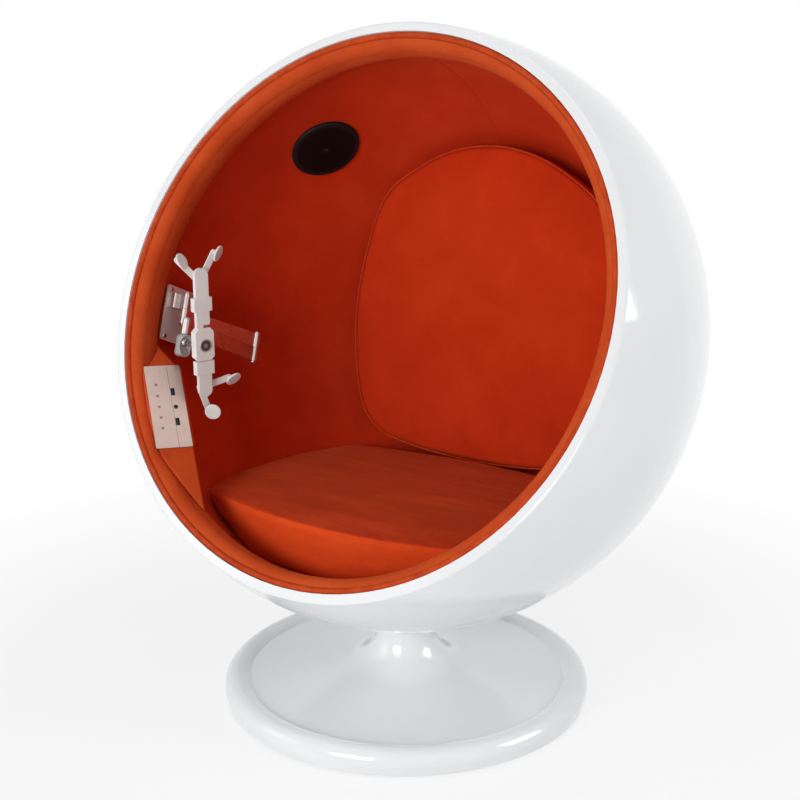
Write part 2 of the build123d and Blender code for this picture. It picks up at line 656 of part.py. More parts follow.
def back_outline(scale, height):
    """Front view of the back cushion: arched top, bowed sides and rounded lower corners."""
    def v(x, y):
        return Vector(x * scale, y * scale, height)

    shoulder = 0.5 * (BACK_SHOULDER_X + BACK_UPPER_X) + BACK_SHOULDER_OUT
    shoulder_y = 0.5 * (BACK_SHOULDER_Y + BACK_UPPER_Y) + BACK_SHOULDER_UP
    corner = 0.5 * (BACK_LOWER_X + BACK_CORNER_X) + BACK_CORNER_OUT
    corner_y = 0.5 * (BACK_LOWER_Y + BACK_CORNER_Y) - BACK_CORNER_OUT
    shoulder_low = v(BACK_UPPER_X, BACK_UPPER_Y)
    shoulder_high = v(BACK_SHOULDER_X, BACK_SHOULDER_Y)
    side_low = v(BACK_LOWER_X, BACK_LOWER_Y)
    foot = v(BACK_CORNER_X, BACK_CORNER_Y)
    half = [
        ThreePointArc(shoulder_high, v(shoulder, shoulder_y), shoulder_low),
        ThreePointArc(shoulder_low, v(BACK_WAIST_X, BACK_WAIST_Y), side_low),
        ThreePointArc(side_low, v(corner, corner_y), foot),
    ]
    other = [mirror(edge, Plane.YZ) for edge in half]
    top = ThreePointArc(v(-BACK_SHOULDER_X, BACK_SHOULDER_Y), v(0, BACK_TOP), shoulder_high)
    bottom = ThreePointArc(foot, v(0, BACK_BOTTOM), v(-BACK_CORNER_X, BACK_CORNER_Y))
    return make_face([top, *half, bottom, *other])


def back_cushion():
    """Crowned cushion, thinner at its edge, with a flat back on its foam block."""
    steps = (
        (0.86, -BACK_THICK),
        (0.95, -0.80 * BACK_THICK),
        (0.99, -0.55 * BACK_THICK),
        (1.0, -0.30 * BACK_THICK),
        (0.995, -0.08 * BACK_THICK),
        (0.975, 0.15 * BACK_CROWN),
        (0.90, 0.50 * BACK_CROWN),
        (0.70, 0.85 * BACK_CROWN),
        (0.40, BACK_CROWN),
    )
    return BACK * loft([back_outline(scale, height) for scale, height in steps], ruled=True)


def back_block():
    """Foam wedge between the back cushion and the bowl."""
    block = extrude(back_outline(BACK_BLOCK_SCALE, -BACK_THICK - FIT_GAP), -BALL_R)
    return (BACK * block) & cabin(CABIN_R)


# Speakers, in frames whose Z points at the middle of the ball

FLANGE_SEAT = LINING_INNER_R - rho_at(LINING_INNER_R, BASKET_FLANGE_R) + FIT_GAP


def speaker_basket():
    """Pressed frame: flange on the lining, conical cage and a floor for the magnet."""
    top = FLANGE_SEAT + BASKET_FLANGE_THICK
    floor = FLANGE_SEAT - BASKET_DEPTH
    outside = [
        Line(at(CONE_R, top), at(BASKET_FLANGE_R, top)),
        Line(at(BASKET_FLANGE_R, top), at(BASKET_FLANGE_R, FLANGE_SEAT)),
        Line(at(BASKET_FLANGE_R, FLANGE_SEAT), at(BASKET_TOP_R, FLANGE_SEAT)),
        Line(at(BASKET_TOP_R, FLANGE_SEAT), at(BASKET_BOTTOM_R, floor)),
        Line(at(BASKET_BOTTOM_R, floor), at(CONE_BOTTOM_R, floor)),
        Line(at(CONE_BOTTOM_R, floor), at(CONE_BOTTOM_R, floor + BASKET_WALL)),
        Line(at(CONE_BOTTOM_R, floor + BASKET_WALL), at(BASKET_BOTTOM_R - BASKET_WALL, floor + BASKET_WALL)),
        Line(at(BASKET_BOTTOM_R - BASKET_WALL, floor + BASKET_WALL), at(CONE_R, FLANGE_SEAT - BASKET_WALL)),
        Line(at(CONE_R, FLANGE_SEAT - BASKET_WALL), at(CONE_R, top)),
    ]
    return upright(outside)


def speaker_cone():
    """Paper cone with a dust cap, hung from the flange."""
    top = FLANGE_SEAT - BASKET_WALL + CONE_WALL
    bottom = top - CONE_DEPTH
    edge = CONE_R - FIT_GAP
    cap_r = 1.5 * CONE_BOTTOM_R
    cap_z = bottom + CONE_WALL - sqrt(cap_r ** 2 - CONE_BOTTOM_R ** 2)
    cap = at(0, cap_z + cap_r)
    cap_mid = at(0.5 * CONE_BOTTOM_R, cap_z + sqrt(cap_r ** 2 - 0.25 * CONE_BOTTOM_R ** 2))
    return upright([
        Line(at(edge, top), at(edge, top + CONE_WALL)),
        Line(at(edge, top + CONE_WALL), at(CONE_BOTTOM_R, bottom + CONE_WALL)),
        ThreePointArc(at(CONE_BOTTOM_R, bottom + CONE_WALL), cap_mid, cap),
        Line(cap, at(0, bottom)),
        Line(at(0, bottom), at(CONE_BOTTOM_R, bottom)),
        Line(at(CONE_BOTTOM_R, bottom), at(edge, top)),
    ])


def speaker_magnet():
    floor = FLANGE_SEAT - BASKET_DEPTH
    return rod(MAGNET_R, floor - MAGNET_THICK, floor)


def speaker_grille():
    """Cloth covered grille disc with a rounded edge, seated on the flange."""
    back = FLANGE_SEAT + BASKET_FLANGE_THICK
    disc = rod(GRILLE_R, back, back + GRILLE_THICK)
    return fillet(disc.edges().group_by(Axis.Z)[-1], 0.6 * GRILLE_THICK)


def power_inlet():
    """Low voltage barrel socket in the shell, with its centre pin."""
    flange = rod(INLET_FLANGE_R, -INLET_FLANGE_THICK, 0)
    body = rod(INLET_BODY_R, -INLET_FLANGE_THICK, INLET_BODY_LENGTH)
    socket = flange + body
    mouth = -INLET_FLANGE_THICK - 2.2
    socket -= rod(INLET_HOLE_R, mouth, INLET_HOLE_DEPTH)
    socket += rod(INLET_PIN_R, 0, INLET_HOLE_DEPTH)
    return INLET * socket


# Media panel, in the frame of its plates

def housing_space(clear):
    width = PANEL_WIDTH - 2 * HOUSING_MARGIN + 2 * clear
    height = PANEL_HEIGHT - 2 * HOUSING_MARGIN + 2 * clear
    return PANEL * Box(width, height, HOUSING_DEPTH + clear, align=TOP)


def pod_slope(y, point):
    """Wedge that falls from one end of the panel to a point on the roll or the wall."""
    x_front = -0.5 * PANEL_WIDTH - 0.5 * POD_MARGIN_FRONT
    x_back = 0.5 * PANEL_WIDTH + 0.5 * POD_MARGIN_BACK
    front = PANEL.from_local_coords(Vector(x_front, y, -0.5 * POD_EDGE_R))
    back = PANEL.from_local_coords(Vector(x_back, y, -0.5 * POD_EDGE_R))
    facet = make_face([Line(front, back), Line(back, point), Line(point, front)])
    return extrude(facet, POD_DEPTH, dir=PANEL.z_dir * -1)


def panel_pod():
    """Upholstered wedge between the roll, the wall and the plates, sloping off at both ends."""
    width = PANEL_WIDTH + POD_MARGIN_FRONT + POD_MARGIN_BACK
    height = PANEL_HEIGHT + POD_MARGIN_TOP + POD_MARGIN_BOTTOM
    shift = 0.5 * (POD_MARGIN_BACK - POD_MARGIN_FRONT)
    lift = 0.5 * (POD_MARGIN_TOP - POD_MARGIN_BOTTOM)
    pod = Pos(shift, lift, 0) * Box(width, height, POD_DEPTH, align=TOP)
    pod = fillet(pod.edges().filter_by(Axis.Z), 2 * POD_EDGE_R)
    pod = fillet(pod.faces().sort_by(Axis.Z)[-1].edges(), POD_EDGE_R)
    foot_turn = radians(POD_FOOT_ANGLE)
    foot_out = OPEN_UP * cos(foot_turn) - X_AXIS * sin(foot_turn)
    foot_point = CENTRE + OPEN_NORMAL * POD_FOOT_OFFSET + foot_out * ROLL_CREST_RHO
    pod = PANEL * pod
    pod += pod_slope(0.45 * PANEL_HEIGHT, WALL.from_local_coords(Vector(*POD_TOP_POINT)))
    pod += pod_slope(-0.45 * PANEL_HEIGHT, foot_point)
    pod = pod & cabin(CABIN_R)
    pod -= about_axis(roll_profile(FIT_GAP))
    pod -= beyond(POD_FRONT_OFFSET)
    pod = pod - housing_space(FIT_GAP)
    return pod.solids().sort_by(SortBy.VOLUME)[-1]


def panel_blank():
    return extrude(RectangleRounded(PANEL_WIDTH, PANEL_HEIGHT, PANEL_CORNER_R), PANEL_THICK)


def touch_plate():
    """Larger plate, with shallow round beds for the touch marks."""
    cut = Box(PANEL_WIDTH, 2 * PANEL_HEIGHT, 4 * PANEL_THICK, align=(Align.MIN, Align.CENTER, Align.CENTER))
    plate = panel_blank() - Pos(PANEL_SEAM_X - 0.5 * PANEL_SEAM_GAP, 0, 0) * cut
    for y in ICON_YS:
        bed = Cylinder(ICON_R + SCREW_HOLE_GAP, PANEL_THICK, align=BOTTOM)
        plate -= Pos(ICON_X, y, PANEL_THICK - ICON_THICK) * bed
    return PANEL * plate


def socket_plate():
    """Narrow plate with the openings of the sockets."""
    cut = Box(PANEL_WIDTH, 2 * PANEL_HEIGHT, 4 * PANEL_THICK, align=(Align.MAX, Align.CENTER, Align.CENTER))
    plate = panel_blank() - Pos(PANEL_SEAM_X + 0.5 * PANEL_SEAM_GAP, 0, 0) * cut
    for x, y in USB_PLACES:
        plate -= Pos(x, y, 0) * Box(USB_WIDTH + FIT_GAP, USB_HEIGHT + FIT_GAP, 4 * PANEL_THICK)
    plate -= Pos(*JACK_PLACE, 0) * Cylinder(JACK_R + 0.5 * FIT_GAP, 4 * PANEL_THICK)
    return PANEL * plate


def touch_icons():
    icons = []
    for y in ICON_YS:
        disc = Cylinder(ICON_R, ICON_THICK + ICON_PROUD, align=BOTTOM)
        icons.append(PANEL * Pos(ICON_X, y, PANEL_THICK - ICON_THICK) * disc)
    return Compound(children=icons)


def panel_housing():
    """Open tray behind the plates."""
    width = PANEL_WIDTH - 2 * HOUSING_MARGIN
    height = PANEL_HEIGHT - 2 * HOUSING_MARGIN
    tray = Box(width, height, HOUSING_DEPTH, align=TOP)
    inside = Box(width - 2 * HOUSING_WALL, height - 2 * HOUSING_WALL, HOUSING_DEPTH - HOUSING_WALL, align=TOP)
    return PANEL * (tray - inside)


def circuit_board():
    """Board on the tray's floor posts, under the sockets."""
    width = PANEL_WIDTH - 2 * HOUSING_MARGIN - 2 * HOUSING_WALL - 2 * FIT_GAP
    height = PANEL_HEIGHT - 2 * HOUSING_MARGIN - 2 * HOUSING_WALL - 2 * FIT_GAP
    board = Pos(0, 0, -BOARD_DEPTH) * Box(width, height, BOARD_THICK, align=TOP)
    post_height = HOUSING_DEPTH - HOUSING_WALL - BOARD_DEPTH - BOARD_THICK
    post = Pos(0, 0, -BOARD_DEPTH - BOARD_THICK) * Cylinder(2 * HOUSING_WALL, post_height, align=TOP)
    for sx in (-0.5, 0.5):
        for sy in (-0.5, 0.5):
            board += Pos(0.8 * sx * width, 0.9 * sy * height, 0) * post
    return PANEL * board


def usb_socket(x, y):
    """Metal can with its tongue, standing on the board."""
    depth = BOARD_DEPTH + PANEL_THICK
    can = Pos(0, 0, PANEL_THICK) * Box(USB_WIDTH, USB_HEIGHT, depth, align=TOP)
    cavity = Box(USB_WIDTH - 2 * USB_WALL, USB_HEIGHT - 2 * USB_WALL, USB_CAVITY_DEPTH, align=TOP)
    can -= Pos(0, 0, PANEL_THICK) * cavity
    tongue_top = PANEL_THICK - 2 * USB_WALL
    tongue = Box(USB_TONGUE, USB_HEIGHT - 4 * USB_WALL, depth - 2 * USB_WALL, align=TOP)
    return PANEL * Pos(x, y, 0) * (can + Pos(0, 0, tongue_top) * tongue)


def audio_jack():
    body = Pos(0, 0, PANEL_THICK) * Cylinder(JACK_R, BOARD_DEPTH + PANEL_THICK, align=TOP)
    bore = Pos(0, 0, PANEL_THICK) * Cylinder(JACK_BORE_R, JACK_BORE_DEPTH, align=TOP)
    return PANEL * Pos(*JACK_PLACE, 0) * (body - bore)


# Wall plate and folding arm, in the frame of the plate

SCREW_PLACES = [(sx * PLATE_SCREW_X, sy * PLATE_SCREW_Y) for sx in (-1, 1) for sy in (-1, 1)]


def wall_block():
    """Timber block between the lining and the plate."""
    width = WALL_BLOCK_FRONT + WALL_BLOCK_BACK
    shift = 0.5 * (WALL_BLOCK_BACK - WALL_BLOCK_FRONT)
    block = Pos(shift, 0, -WALL_PLATE_THICK) * Box(width, WALL_BLOCK_HEIGHT, WALL_BLOCK_DEPTH, align=TOP)
    for x, y in SCREW_PLACES:
        block -= Pos(x, y, 0) * rod(PLATE_SCREW_R + SCREW_HOLE_GAP, -PLATE_SCREW_LENGTH, 0)
    return (WALL * block) & cabin(CABIN_R)


def wall_plate():
    plate = extrude(RectangleRounded(PLATE_WIDTH, PLATE_HEIGHT, PLATE_CORNER_R), -WALL_PLATE_THICK)
    for x, y in SCREW_PLACES:
        plate -= Pos(x, y, 0) * rod(PLATE_SCREW_R + SCREW_HOLE_GAP, -2 * WALL_PLATE_THICK, WALL_PLATE_THICK)
    return WALL * plate


def plate_screws():
    """Round headed screws at the plate's corners."""
    head = rod(PLATE_SCREW_HEAD_R, 0, PLATE_SCREW_HEAD_H)
    head = fillet(head.edges().group_by(Axis.Z)[-1], 0.6 * PLATE_SCREW_HEAD_H)
    screw = head + rod(PLATE_SCREW_R, -PLATE_SCREW_LENGTH + FIT_GAP, 0)
    return Compound(children=[WALL * Pos(x, y, 0) * screw for x, y in SCREW_PLACES])


def wall_bracket():
    """Channel welded to the plate, ending in the fixed hinge barrel."""
    height = BRACKET_TOP_Y - BRACKET_BOTTOM_Y
    middle = 0.5 * (BRACKET_TOP_Y + BRACKET_BOTTOM_Y)
    low = (Align.CENTER, Align.CENTER, Align.MIN)
    block = Pos(HINGE_X, middle, 0) * Box(BRACKET_WIDTH, height, BRACKET_DEPTH - BRACKET_WEB, align=low)
    block = fillet(block.edges().filter_by(Axis.Y).group_by(Axis.Z)[-1], 0.5 * BRACKET_WEB)
    web = Pos(HINGE_X, middle, 0) * Box(BRACKET_WEB, height, HINGE_Z, align=low)
    barrel = Pos(HINGE_X, 0, HINGE_Z) * rod_y(BARREL_R, BRACKET_BOTTOM_Y, BRACKET_TOP_Y)
    bore = Pos(HINGE_X, 0, HINGE_Z) * rod_y(PIN_R + RUNNING_GAP, BRACKET_BOTTOM_Y - 1, BRACKET_TOP_Y + 1)
    return WALL * (block + web + barrel - bore)


def hinge_pin(x, z, bottom, top):
    pin = rod_y(PIN_R, bottom, top) + rod_y(PIN_HEAD_R, top, top + PIN_HEAD_H)
    pin += rod_y(PIN_HEAD_R, bottom - PIN_HEAD_H, bottom)
    return WALL * Pos(x, 0, z) * pin


def arm_link(x_a, z_a, x_b, z_b, bottom, top):
    """Flat strip between two bored barrels."""
    dx = x_b - x_a
    dz = z_b - z_a
    length = sqrt(dx ** 2 + dz ** 2)
    middle = 0.5 * (bottom + top)
    strip = Box(length, top - bottom, LINK_THICK)
    run = Plane(
        origin=(0.5 * (x_a + x_b), middle, 0.5 * (z_a + z_b)),
        x_dir=(dx, 0, dz),
        z_dir=(-dz, 0, dx),
    )
    link = run * strip
    for x, z in ((x_a, z_a), (x_b, z_b)):
        link += Pos(x, 0, z) * rod_y(BARREL_R, bottom, top)
    for x, z in ((x_a, z_a), (x_b, z_b)):
        link -= Pos(x, 0, z) * rod_y(PIN_R + RUNNING_GAP, bottom - 1, top + 1)
    return WALL * link


def ball_clamp():
    """Split cup on a shank that turns in the arm's end barrel, with a socket for the ball."""
    cup = rod_y(CLAMP_R, CLAMP_TOP - CLAMP_HEIGHT, CLAMP_TOP)
    cup = fillet(cup.edges().filter_by(GeomType.CIRCLE), CLAMP_EDGE_R)
    shank_top = LINK_2_TOP + LINK_GAP
    cup += rod_y(PIN_R, CLAMP_TOP - CLAMP_EDGE_R, shank_top)
    cup += rod_y(PIN_HEAD_R, shank_top, shank_top + PIN_HEAD_H)
    cup = WALL * Pos(WRIST_X, 0, WRIST_Z) * cup
    cup -= Pos(JOINT_BALL) * Sphere(JOINT_BALL_R + JOINT_BALL_GAP)
    reach = 2 * CLAMP_R
    cone = Cone(0.01, reach * tan(radians(SOCKET_CONE_ANGLE)), reach, align=BOTTOM)
    cup -= STUD * cone
    slit = Pos(0, 0, -CLAMP_R) * Box(CLAMP_SLIT, 4 * CLAMP_HEIGHT, 2 * CLAMP_R, align=BOTTOM)
    slit = STUD * slit
    under = Box(4 * CLAMP_R, 2 * CLAMP_HEIGHT, 4 * CLAMP_R, align=(Align.CENTER, Align.MAX, Align.CENTER))
    return cup - (slit & (WALL * Pos(WRIST_X, BALL_Y, WRIST_Z) * under))


def ball_stud():
    """Ball on a neck, with a flange and a pin that the holder turns on."""
    neck_end = STUD_LENGTH
    stud = Sphere(JOINT_BALL_R) + rod(STUD_NECK_R, 0, neck_end)
    stud += rod(STUD_FLANGE_R, neck_end, neck_end + STUD_FLANGE_THICK)
    stud += rod(STUD_PIN_R, neck_end, neck_end + STUD_FLANGE_THICK + STUD_PIN_LENGTH)
    return STUD * stud


# Tablet holder, in its upright frame

TAIL_WIDTH = 0.5 * BAR_WIDTH - 0.5 * TAIL_GAP
UPPER_COLLAR_Y = BODY_TOP + UPPER_COLLAR_LIFT
LOWER_COLLAR_Y = BODY_BOTTOM - LOWER_COLLAR_DROP
CLAW_BACK = -0.5 * BAR_THICK - CLAW_GAP


def holder_body():
    """Sleeve with chamfered corners that the two bars slide in, bossed for the stud's pin."""
    height = BODY_TOP - BODY_BOTTOM
    middle = 0.5 * (BODY_TOP + BODY_BOTTOM)
    body = Pos(0, middle, 0) * Box(BODY_WIDTH, height, BODY_DEPTH)
    body = chamfer(body.edges().filter_by(Axis.Z), BODY_CHAMFER)
    body = fillet(body.faces().sort_by(Axis.Z)[-1].edges(), 1.5)
    boss_end = -0.5 * BODY_DEPTH - BODY_BOSS_DEPTH
    body += Pos(0, -HOLDER_RISE, 0) * rod(BODY_BOSS_R, boss_end, 0)
    body -= Pos(0, middle, 0) * Box(BAR_WIDTH + 2 * BAR_GAP, 2 * height, BAR_THICK + 2 * BAR_GAP)
    bore = rod(STUD_PIN_R + RUNNING_GAP, boss_end - 1, boss_end + STUD_PIN_LENGTH + LINK_GAP)
    body -= Pos(0, -HOLDER_RISE, 0) * bore
    return HOLDER * body


def holder_badge():
    badge = rod(BADGE_R, 0.5 * BODY_DEPTH, 0.5 * BODY_DEPTH + BADGE_THICK)
    return HOLDER * fillet(badge.edges().group_by(Axis.Z)[-1], 0.4 * BADGE_THICK)


def holder_bar(tip, collar, tail_end, side):
    """Flat bar with a round end, a stop collar and a half width tail; side is -1 for the upper bar."""
    up = 1 if tip > 0 else -1
    shoulder = (BODY_TOP if up > 0 else BODY_BOTTOM) + up * BAR_SHOULDER
    root = tip - up * 0.5 * BAR_WIDTH
    bar = Pos(0, 0.5 * (shoulder + root), 0) * Box(BAR_WIDTH, abs(root - shoulder), BAR_THICK)
    bar += Pos(0, root, 0) * Cylinder(0.5 * BAR_WIDTH, BAR_THICK)
    tail_x = side * 0.5 * (TAIL_GAP + TAIL_WIDTH)
    bar += Pos(tail_x, 0.5 * (shoulder + tail_end), 0) * Box(TAIL_WIDTH, abs(shoulder - tail_end), BAR_THICK)
    band = Box(COLLAR_WIDTH, COLLAR_HEIGHT, COLLAR_DEPTH)
    band = fillet(band.edges().filter_by(Axis.Y), 2.0)
    bar += Pos(0, collar + up * 0.5 * COLLAR_HEIGHT, 0) * band
    hole = rod(RIVET_R + RUNNING_GAP, -BAR_THICK, RIVET_LENGTH - 0.5 * BAR_THICK)
    for sx in (-1, 1):
        bar -= Pos(sx * CLAW_SIDE, tip - up * CLAW_INSET, 0) * hole
    return HOLDER * bar


def claw_pivot(name):
    tip, up = (UPPER_TOP, 1) if name.startswith("upper") else (LOWER_BOTTOM, -1)
    side = -1 if name.endswith("left") else 1
    return side * CLAW_SIDE, tip - up * CLAW_INSET


def claw(name):
    """Flat link behind the bar on its own rivet, with a stem at its end for the pad."""
    strip = extrude(SlotCenterToCenter(CLAW_LENGTH, CLAW_WIDTH), -CLAW_THICK)
    link = Pos(0.5 * CLAW_LENGTH, 0, CLAW_BACK) * strip
    link += rod(RIVET_R, CLAW_BACK - CLAW_THICK, CLAW_BACK + RIVET_LENGTH)
    link += Pos(CLAW_LENGTH, 0, 0) * rod(STEM_R, CLAW_BACK - CLAW_THICK, PAD_FORWARD - CLAW_PAD_THICK)
    x, y = claw_pivot(name)
    link = Pos(x, y, 0) * Rot(0, 0, CLAW_ANGLES[name]) * link
    return HOLDER * link - claw_pad(name)


def claw_pad(name):
    """Round rubber pad, leaning on the end of its stem."""
    pad = rod(CLAW_PAD_R, -0.5 * CLAW_PAD_THICK, 0.5 * CLAW_PAD_THICK)
    pad = fillet(pad.edges().filter_by(GeomType.CIRCLE), 0.35 * CLAW_PAD_THICK)
    x, y = claw_pivot(name)
    turn = Pos(x, y, 0) * Rot(0, 0, CLAW_ANGLES[name])
    return HOLDER * turn * Pos(CLAW_LENGTH, 0, PAD_FORWARD) * Rot(CLAW_PAD_LEAN, 0, 0) * pad


def all_parts():
    upper_tail = BODY_TOP - TAIL_OVERLAP
    lower_tail = BODY_BOTTOM + TAIL_OVERLAP + 11
    bracket_pin_top = BRACKET_TOP_Y + LINK_GAP
    washer_bottom = SWIVEL_PLATE_Z - THRUST_THICK
    parts = {
        "base_shell": base_shell(),
        "base_plate": base_plate(),
        "floor_pad": rod(PAD_R, 0, PAD_THICK),
        "column_tube": tube(COLUMN_R, COLUMN_BORE_R, PLATE_TOP_Z, COLUMN_TOP_Z),
        "upper_bush": bush(COLUMN_TOP_Z - BUSH_LENGTH, True),
        "lower_bush": bush(LOWER_BUSH_Z, False),
        "thrust_washer": tube(COLUMN_BORE_R, SPINDLE_R + FIT_GAP, washer_bottom, SWIVEL_PLATE_Z),
        "base_screws": bolt_group(base_screw, BASE_BOSS_CIRCLE_R, BASE_SCREW_COUNT),
        "swivel_spindle": swivel_spindle(),
        "retaining_ring": retaining_ring(),
        "mount_plate": mount_plate(),
        "mount_bolts": bolt_group(mount_bolt, MOUNT_BOLT_CIRCLE_R, MOUNT_BOLT_COUNT),
        "outer_shell": outer_shell(),
        "foam_liner": bowl(FOAM_OUTER_R, FOAM_INNER_R) - inlet_hole(INLET_CAVITY_R),
        "fabric_lining": bowl(FOAM_INNER_R, LINING_INNER_R),
        "rim_roll": about_axis(roll_profile(0)) - housing_space(FIT_GAP),
        "rim_welt": rim_welt(),
        "seat_block": seat_block(),
        "seat_cushion": seat_cushion(),
        "back_block": back_block(),
        "back_cushion": back_cushion(),
        "power_inlet": power_inlet(),
        "panel_pod": panel_pod(),
        "touch_plate": touch_plate(),
        "socket_plate": socket_plate(),
        "panel_housing": panel_housing(),
        "circuit_board": circuit_board(),
        "usb_sockets": Compound(children=[usb_socket(x, y) for x, y in USB_PLACES]),
        "audio_jack": audio_jack(),
        "touch_icons": touch_icons(),
        "wall_block": wall_block(),
        "wall_plate": wall_plate(),
        "plate_screws": plate_screws(),
        "wall_bracket": wall_bracket(),
        "shoulder_pin": hinge_pin(HINGE_X, HINGE_Z, LINK_1_BOTTOM - LINK_GAP, bracket_pin_top),
        "arm_link_1": arm_link(HINGE_X, HINGE_Z, ELBOW_X, ELBOW_Z, LINK_1_BOTTOM, LINK_1_TOP),
        "elbow_pin": hinge_pin(ELBOW_X, ELBOW_Z, LINK_2_BOTTOM - LINK_GAP, LINK_1_TOP + LINK_GAP),
        "arm_link_2": arm_link(ELBOW_X, ELBOW_Z, WRIST_X, WRIST_Z, LINK_2_BOTTOM, LINK_2_TOP),
        "ball_clamp": ball_clamp(),
        "ball_stud": ball_stud(),
        "holder_body": holder_body(),
        "holder_badge": holder_badge(),
        "upper_bar": holder_bar(UPPER_TOP, UPPER_COLLAR_Y, upper_tail, -1),
        "lower_bar": holder_bar(LOWER_BOTTOM, LOWER_COLLAR_Y, lower_tail, 1),
    }
    for side, frame in SPEAKERS.items():
        parts[f"speaker_basket_{side}"] = frame * speaker_basket()
        parts[f"speaker_cone_{side}"] = frame * speaker_cone()
        parts[f"speaker_magnet_{side}"] = frame * speaker_magnet()
        parts[f"speaker_grille_{side}"] = frame * speaker_grille()
    for name in CLAW_ANGLES:
        parts[f"claw_{name}"] = claw(name)
        parts[f"claw_pad_{name}"] = claw_pad(name)
    return parts


for node, shape in all_parts().items():
    export_step(shape, f"parts/{node}.step")
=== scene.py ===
import math
import bpy
import numpy as np
from mathutils import Matrix, Vector, kdtree, noise as field


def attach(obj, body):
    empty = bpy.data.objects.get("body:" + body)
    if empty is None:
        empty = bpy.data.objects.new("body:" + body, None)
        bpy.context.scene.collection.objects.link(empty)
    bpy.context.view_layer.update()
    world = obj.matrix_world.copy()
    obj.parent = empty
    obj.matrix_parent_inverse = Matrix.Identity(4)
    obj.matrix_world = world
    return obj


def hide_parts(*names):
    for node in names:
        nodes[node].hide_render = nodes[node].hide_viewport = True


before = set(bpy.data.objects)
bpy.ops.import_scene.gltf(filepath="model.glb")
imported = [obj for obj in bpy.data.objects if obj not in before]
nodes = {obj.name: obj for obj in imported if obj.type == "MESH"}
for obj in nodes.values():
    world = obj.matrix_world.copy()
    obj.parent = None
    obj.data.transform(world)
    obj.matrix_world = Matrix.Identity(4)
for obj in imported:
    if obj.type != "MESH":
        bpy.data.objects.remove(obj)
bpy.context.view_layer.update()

scene = bpy.context.scene
scene.view_settings.view_transform = "Standard"

# Frame of the ball and its opening, in metres
CENTRE = Vector((0.0, 0.0, 0.684))
TILT = math.radians(23.6)
NORMAL = Vector((0.0, -math.cos(TILT), math.sin(TILT)))
UP = Vector((0.0, math.sin(TILT), math.cos(TILT)))
SIDE = Vector((1.0, 0.0, 0.0))

# Line from the ball's centre through each speaker
SPEAKER_AZIMUTH = math.radians(56.7)
SPEAKER_RISE = math.radians(37.4)


def on_ring(rho, offset, angle):
    """Point at this angle round the opening's axis; 0 is its top and positive turns to +X."""
    return CENTRE + NORMAL * offset + (UP * math.cos(angle) + SIDE * math.sin(angle)) * rho


def speaker_axis(side):
    """Line from the ball's centre through a speaker; side is -1 or 1 along X."""
    azimuth = SPEAKER_AZIMUTH * side
    level = math.cos(SPEAKER_RISE)
    return Vector((math.sin(azimuth) * level, math.cos(azimuth) * level, math.sin(SPEAKER_RISE)))


# Materials

# Sockets of the Mix node for colours, which share their names with those for numbers
MIX_A, MIX_B, MIX_RESULT = 6, 7, 2


def new_material(name):
    material = bpy.data.materials.new(name)
    material.use_nodes = True
    tree = material.node_tree
    return material, tree, tree.nodes["Principled BSDF"]


def add(tree, kind, **values):
    node = tree.nodes.new(kind)
    for key, value in values.items():
        setattr(node, key, value)
    return node


def coords(tree, scale=(1.0, 1.0, 1.0), turn=(0.0, 0.0, 0.0), kind="POINT"):
    place = add(tree, "ShaderNodeTexCoord")
    mapping = add(tree, "ShaderNodeMapping", vector_type=kind)
    mapping.inputs["Scale"].default_value = scale
    mapping.inputs["Rotation"].default_value = turn
    tree.links.new(place.outputs["Object"], mapping.inputs["Vector"])
    return mapping.outputs["Vector"]


def off_axis(tree, centre, axis, gain):
    """Distance from the line through centre along axis, times gain."""
    place = add(tree, "ShaderNodeTexCoord")
    along = add(tree, "ShaderNodeMapping", vector_type="TEXTURE")
    along.inputs["Location"].default_value = centre
    along.inputs["Rotation"].default_value = axis.to_track_quat("Z", "Y").to_euler()
    tree.links.new(place.outputs["Object"], along.inputs["Vector"])
    flat = add(tree, "ShaderNodeVectorMath", operation="MULTIPLY")
    flat.inputs[1].default_value = (gain, gain, 0.0)
    tree.links.new(along.outputs["Vector"], flat.inputs[0])
    out = add(tree, "ShaderNodeVectorMath", operation="LENGTH")
    tree.links.new(flat.outputs["Vector"], out.inputs[0])
    return out.outputs["Value"]


def noise(tree, vector, scale, detail=4.0, roughness=0.6):
    node = add(tree, "ShaderNodeTexNoise")
    node.inputs["Scale"].default_value = scale
    node.inputs["Detail"].default_value = detail
    node.inputs["Roughness"].default_value = roughness
    tree.links.new(vector, node.inputs["Vector"])
    return node.outputs["Fac"]


def cells(tree, scale, randomness=1.0):
    node = add(tree, "ShaderNodeTexVoronoi")
    node.inputs["Scale"].default_value = scale
    node.inputs["Randomness"].default_value = randomness
    tree.links.new(coords(tree), node.inputs["Vector"])
    return node.outputs["Distance"]


def ramp(tree, factor, *stops):
    node = add(tree, "ShaderNodeValToRGB")
    while len(node.color_ramp.elements) < len(stops):
        node.color_ramp.elements.new(0.5)
    for element, (place, colour) in zip(node.color_ramp.elements, stops):
        element.position = place
        element.color = (*colour, 1.0)
    tree.links.new(factor, node.inputs["Fac"])
    return node.outputs["Color"]


def grey(value):
    return (value, value, value)


def greys(tree, factor, *stops):
    return ramp(tree, factor, *((place, grey(value)) for place, value in stops))


def bump(tree, shader, height, strength, distance):
    node = add(tree, "ShaderNodeBump")
    node.inputs["Strength"].default_value = strength
    node.inputs["Distance"].default_value = distance
    tree.links.new(height, node.inputs["Height"])
    tree.links.new(node.outputs["Normal"], shader.inputs["Normal"])


def mix_values(tree, a, b, share):
    node = add(tree, "ShaderNodeMix", data_type="FLOAT")
    node.inputs["Factor"].default_value = share
    tree.links.new(a, node.inputs["A"])
    tree.links.new(b, node.inputs["B"])
    return node.outputs["Result"]


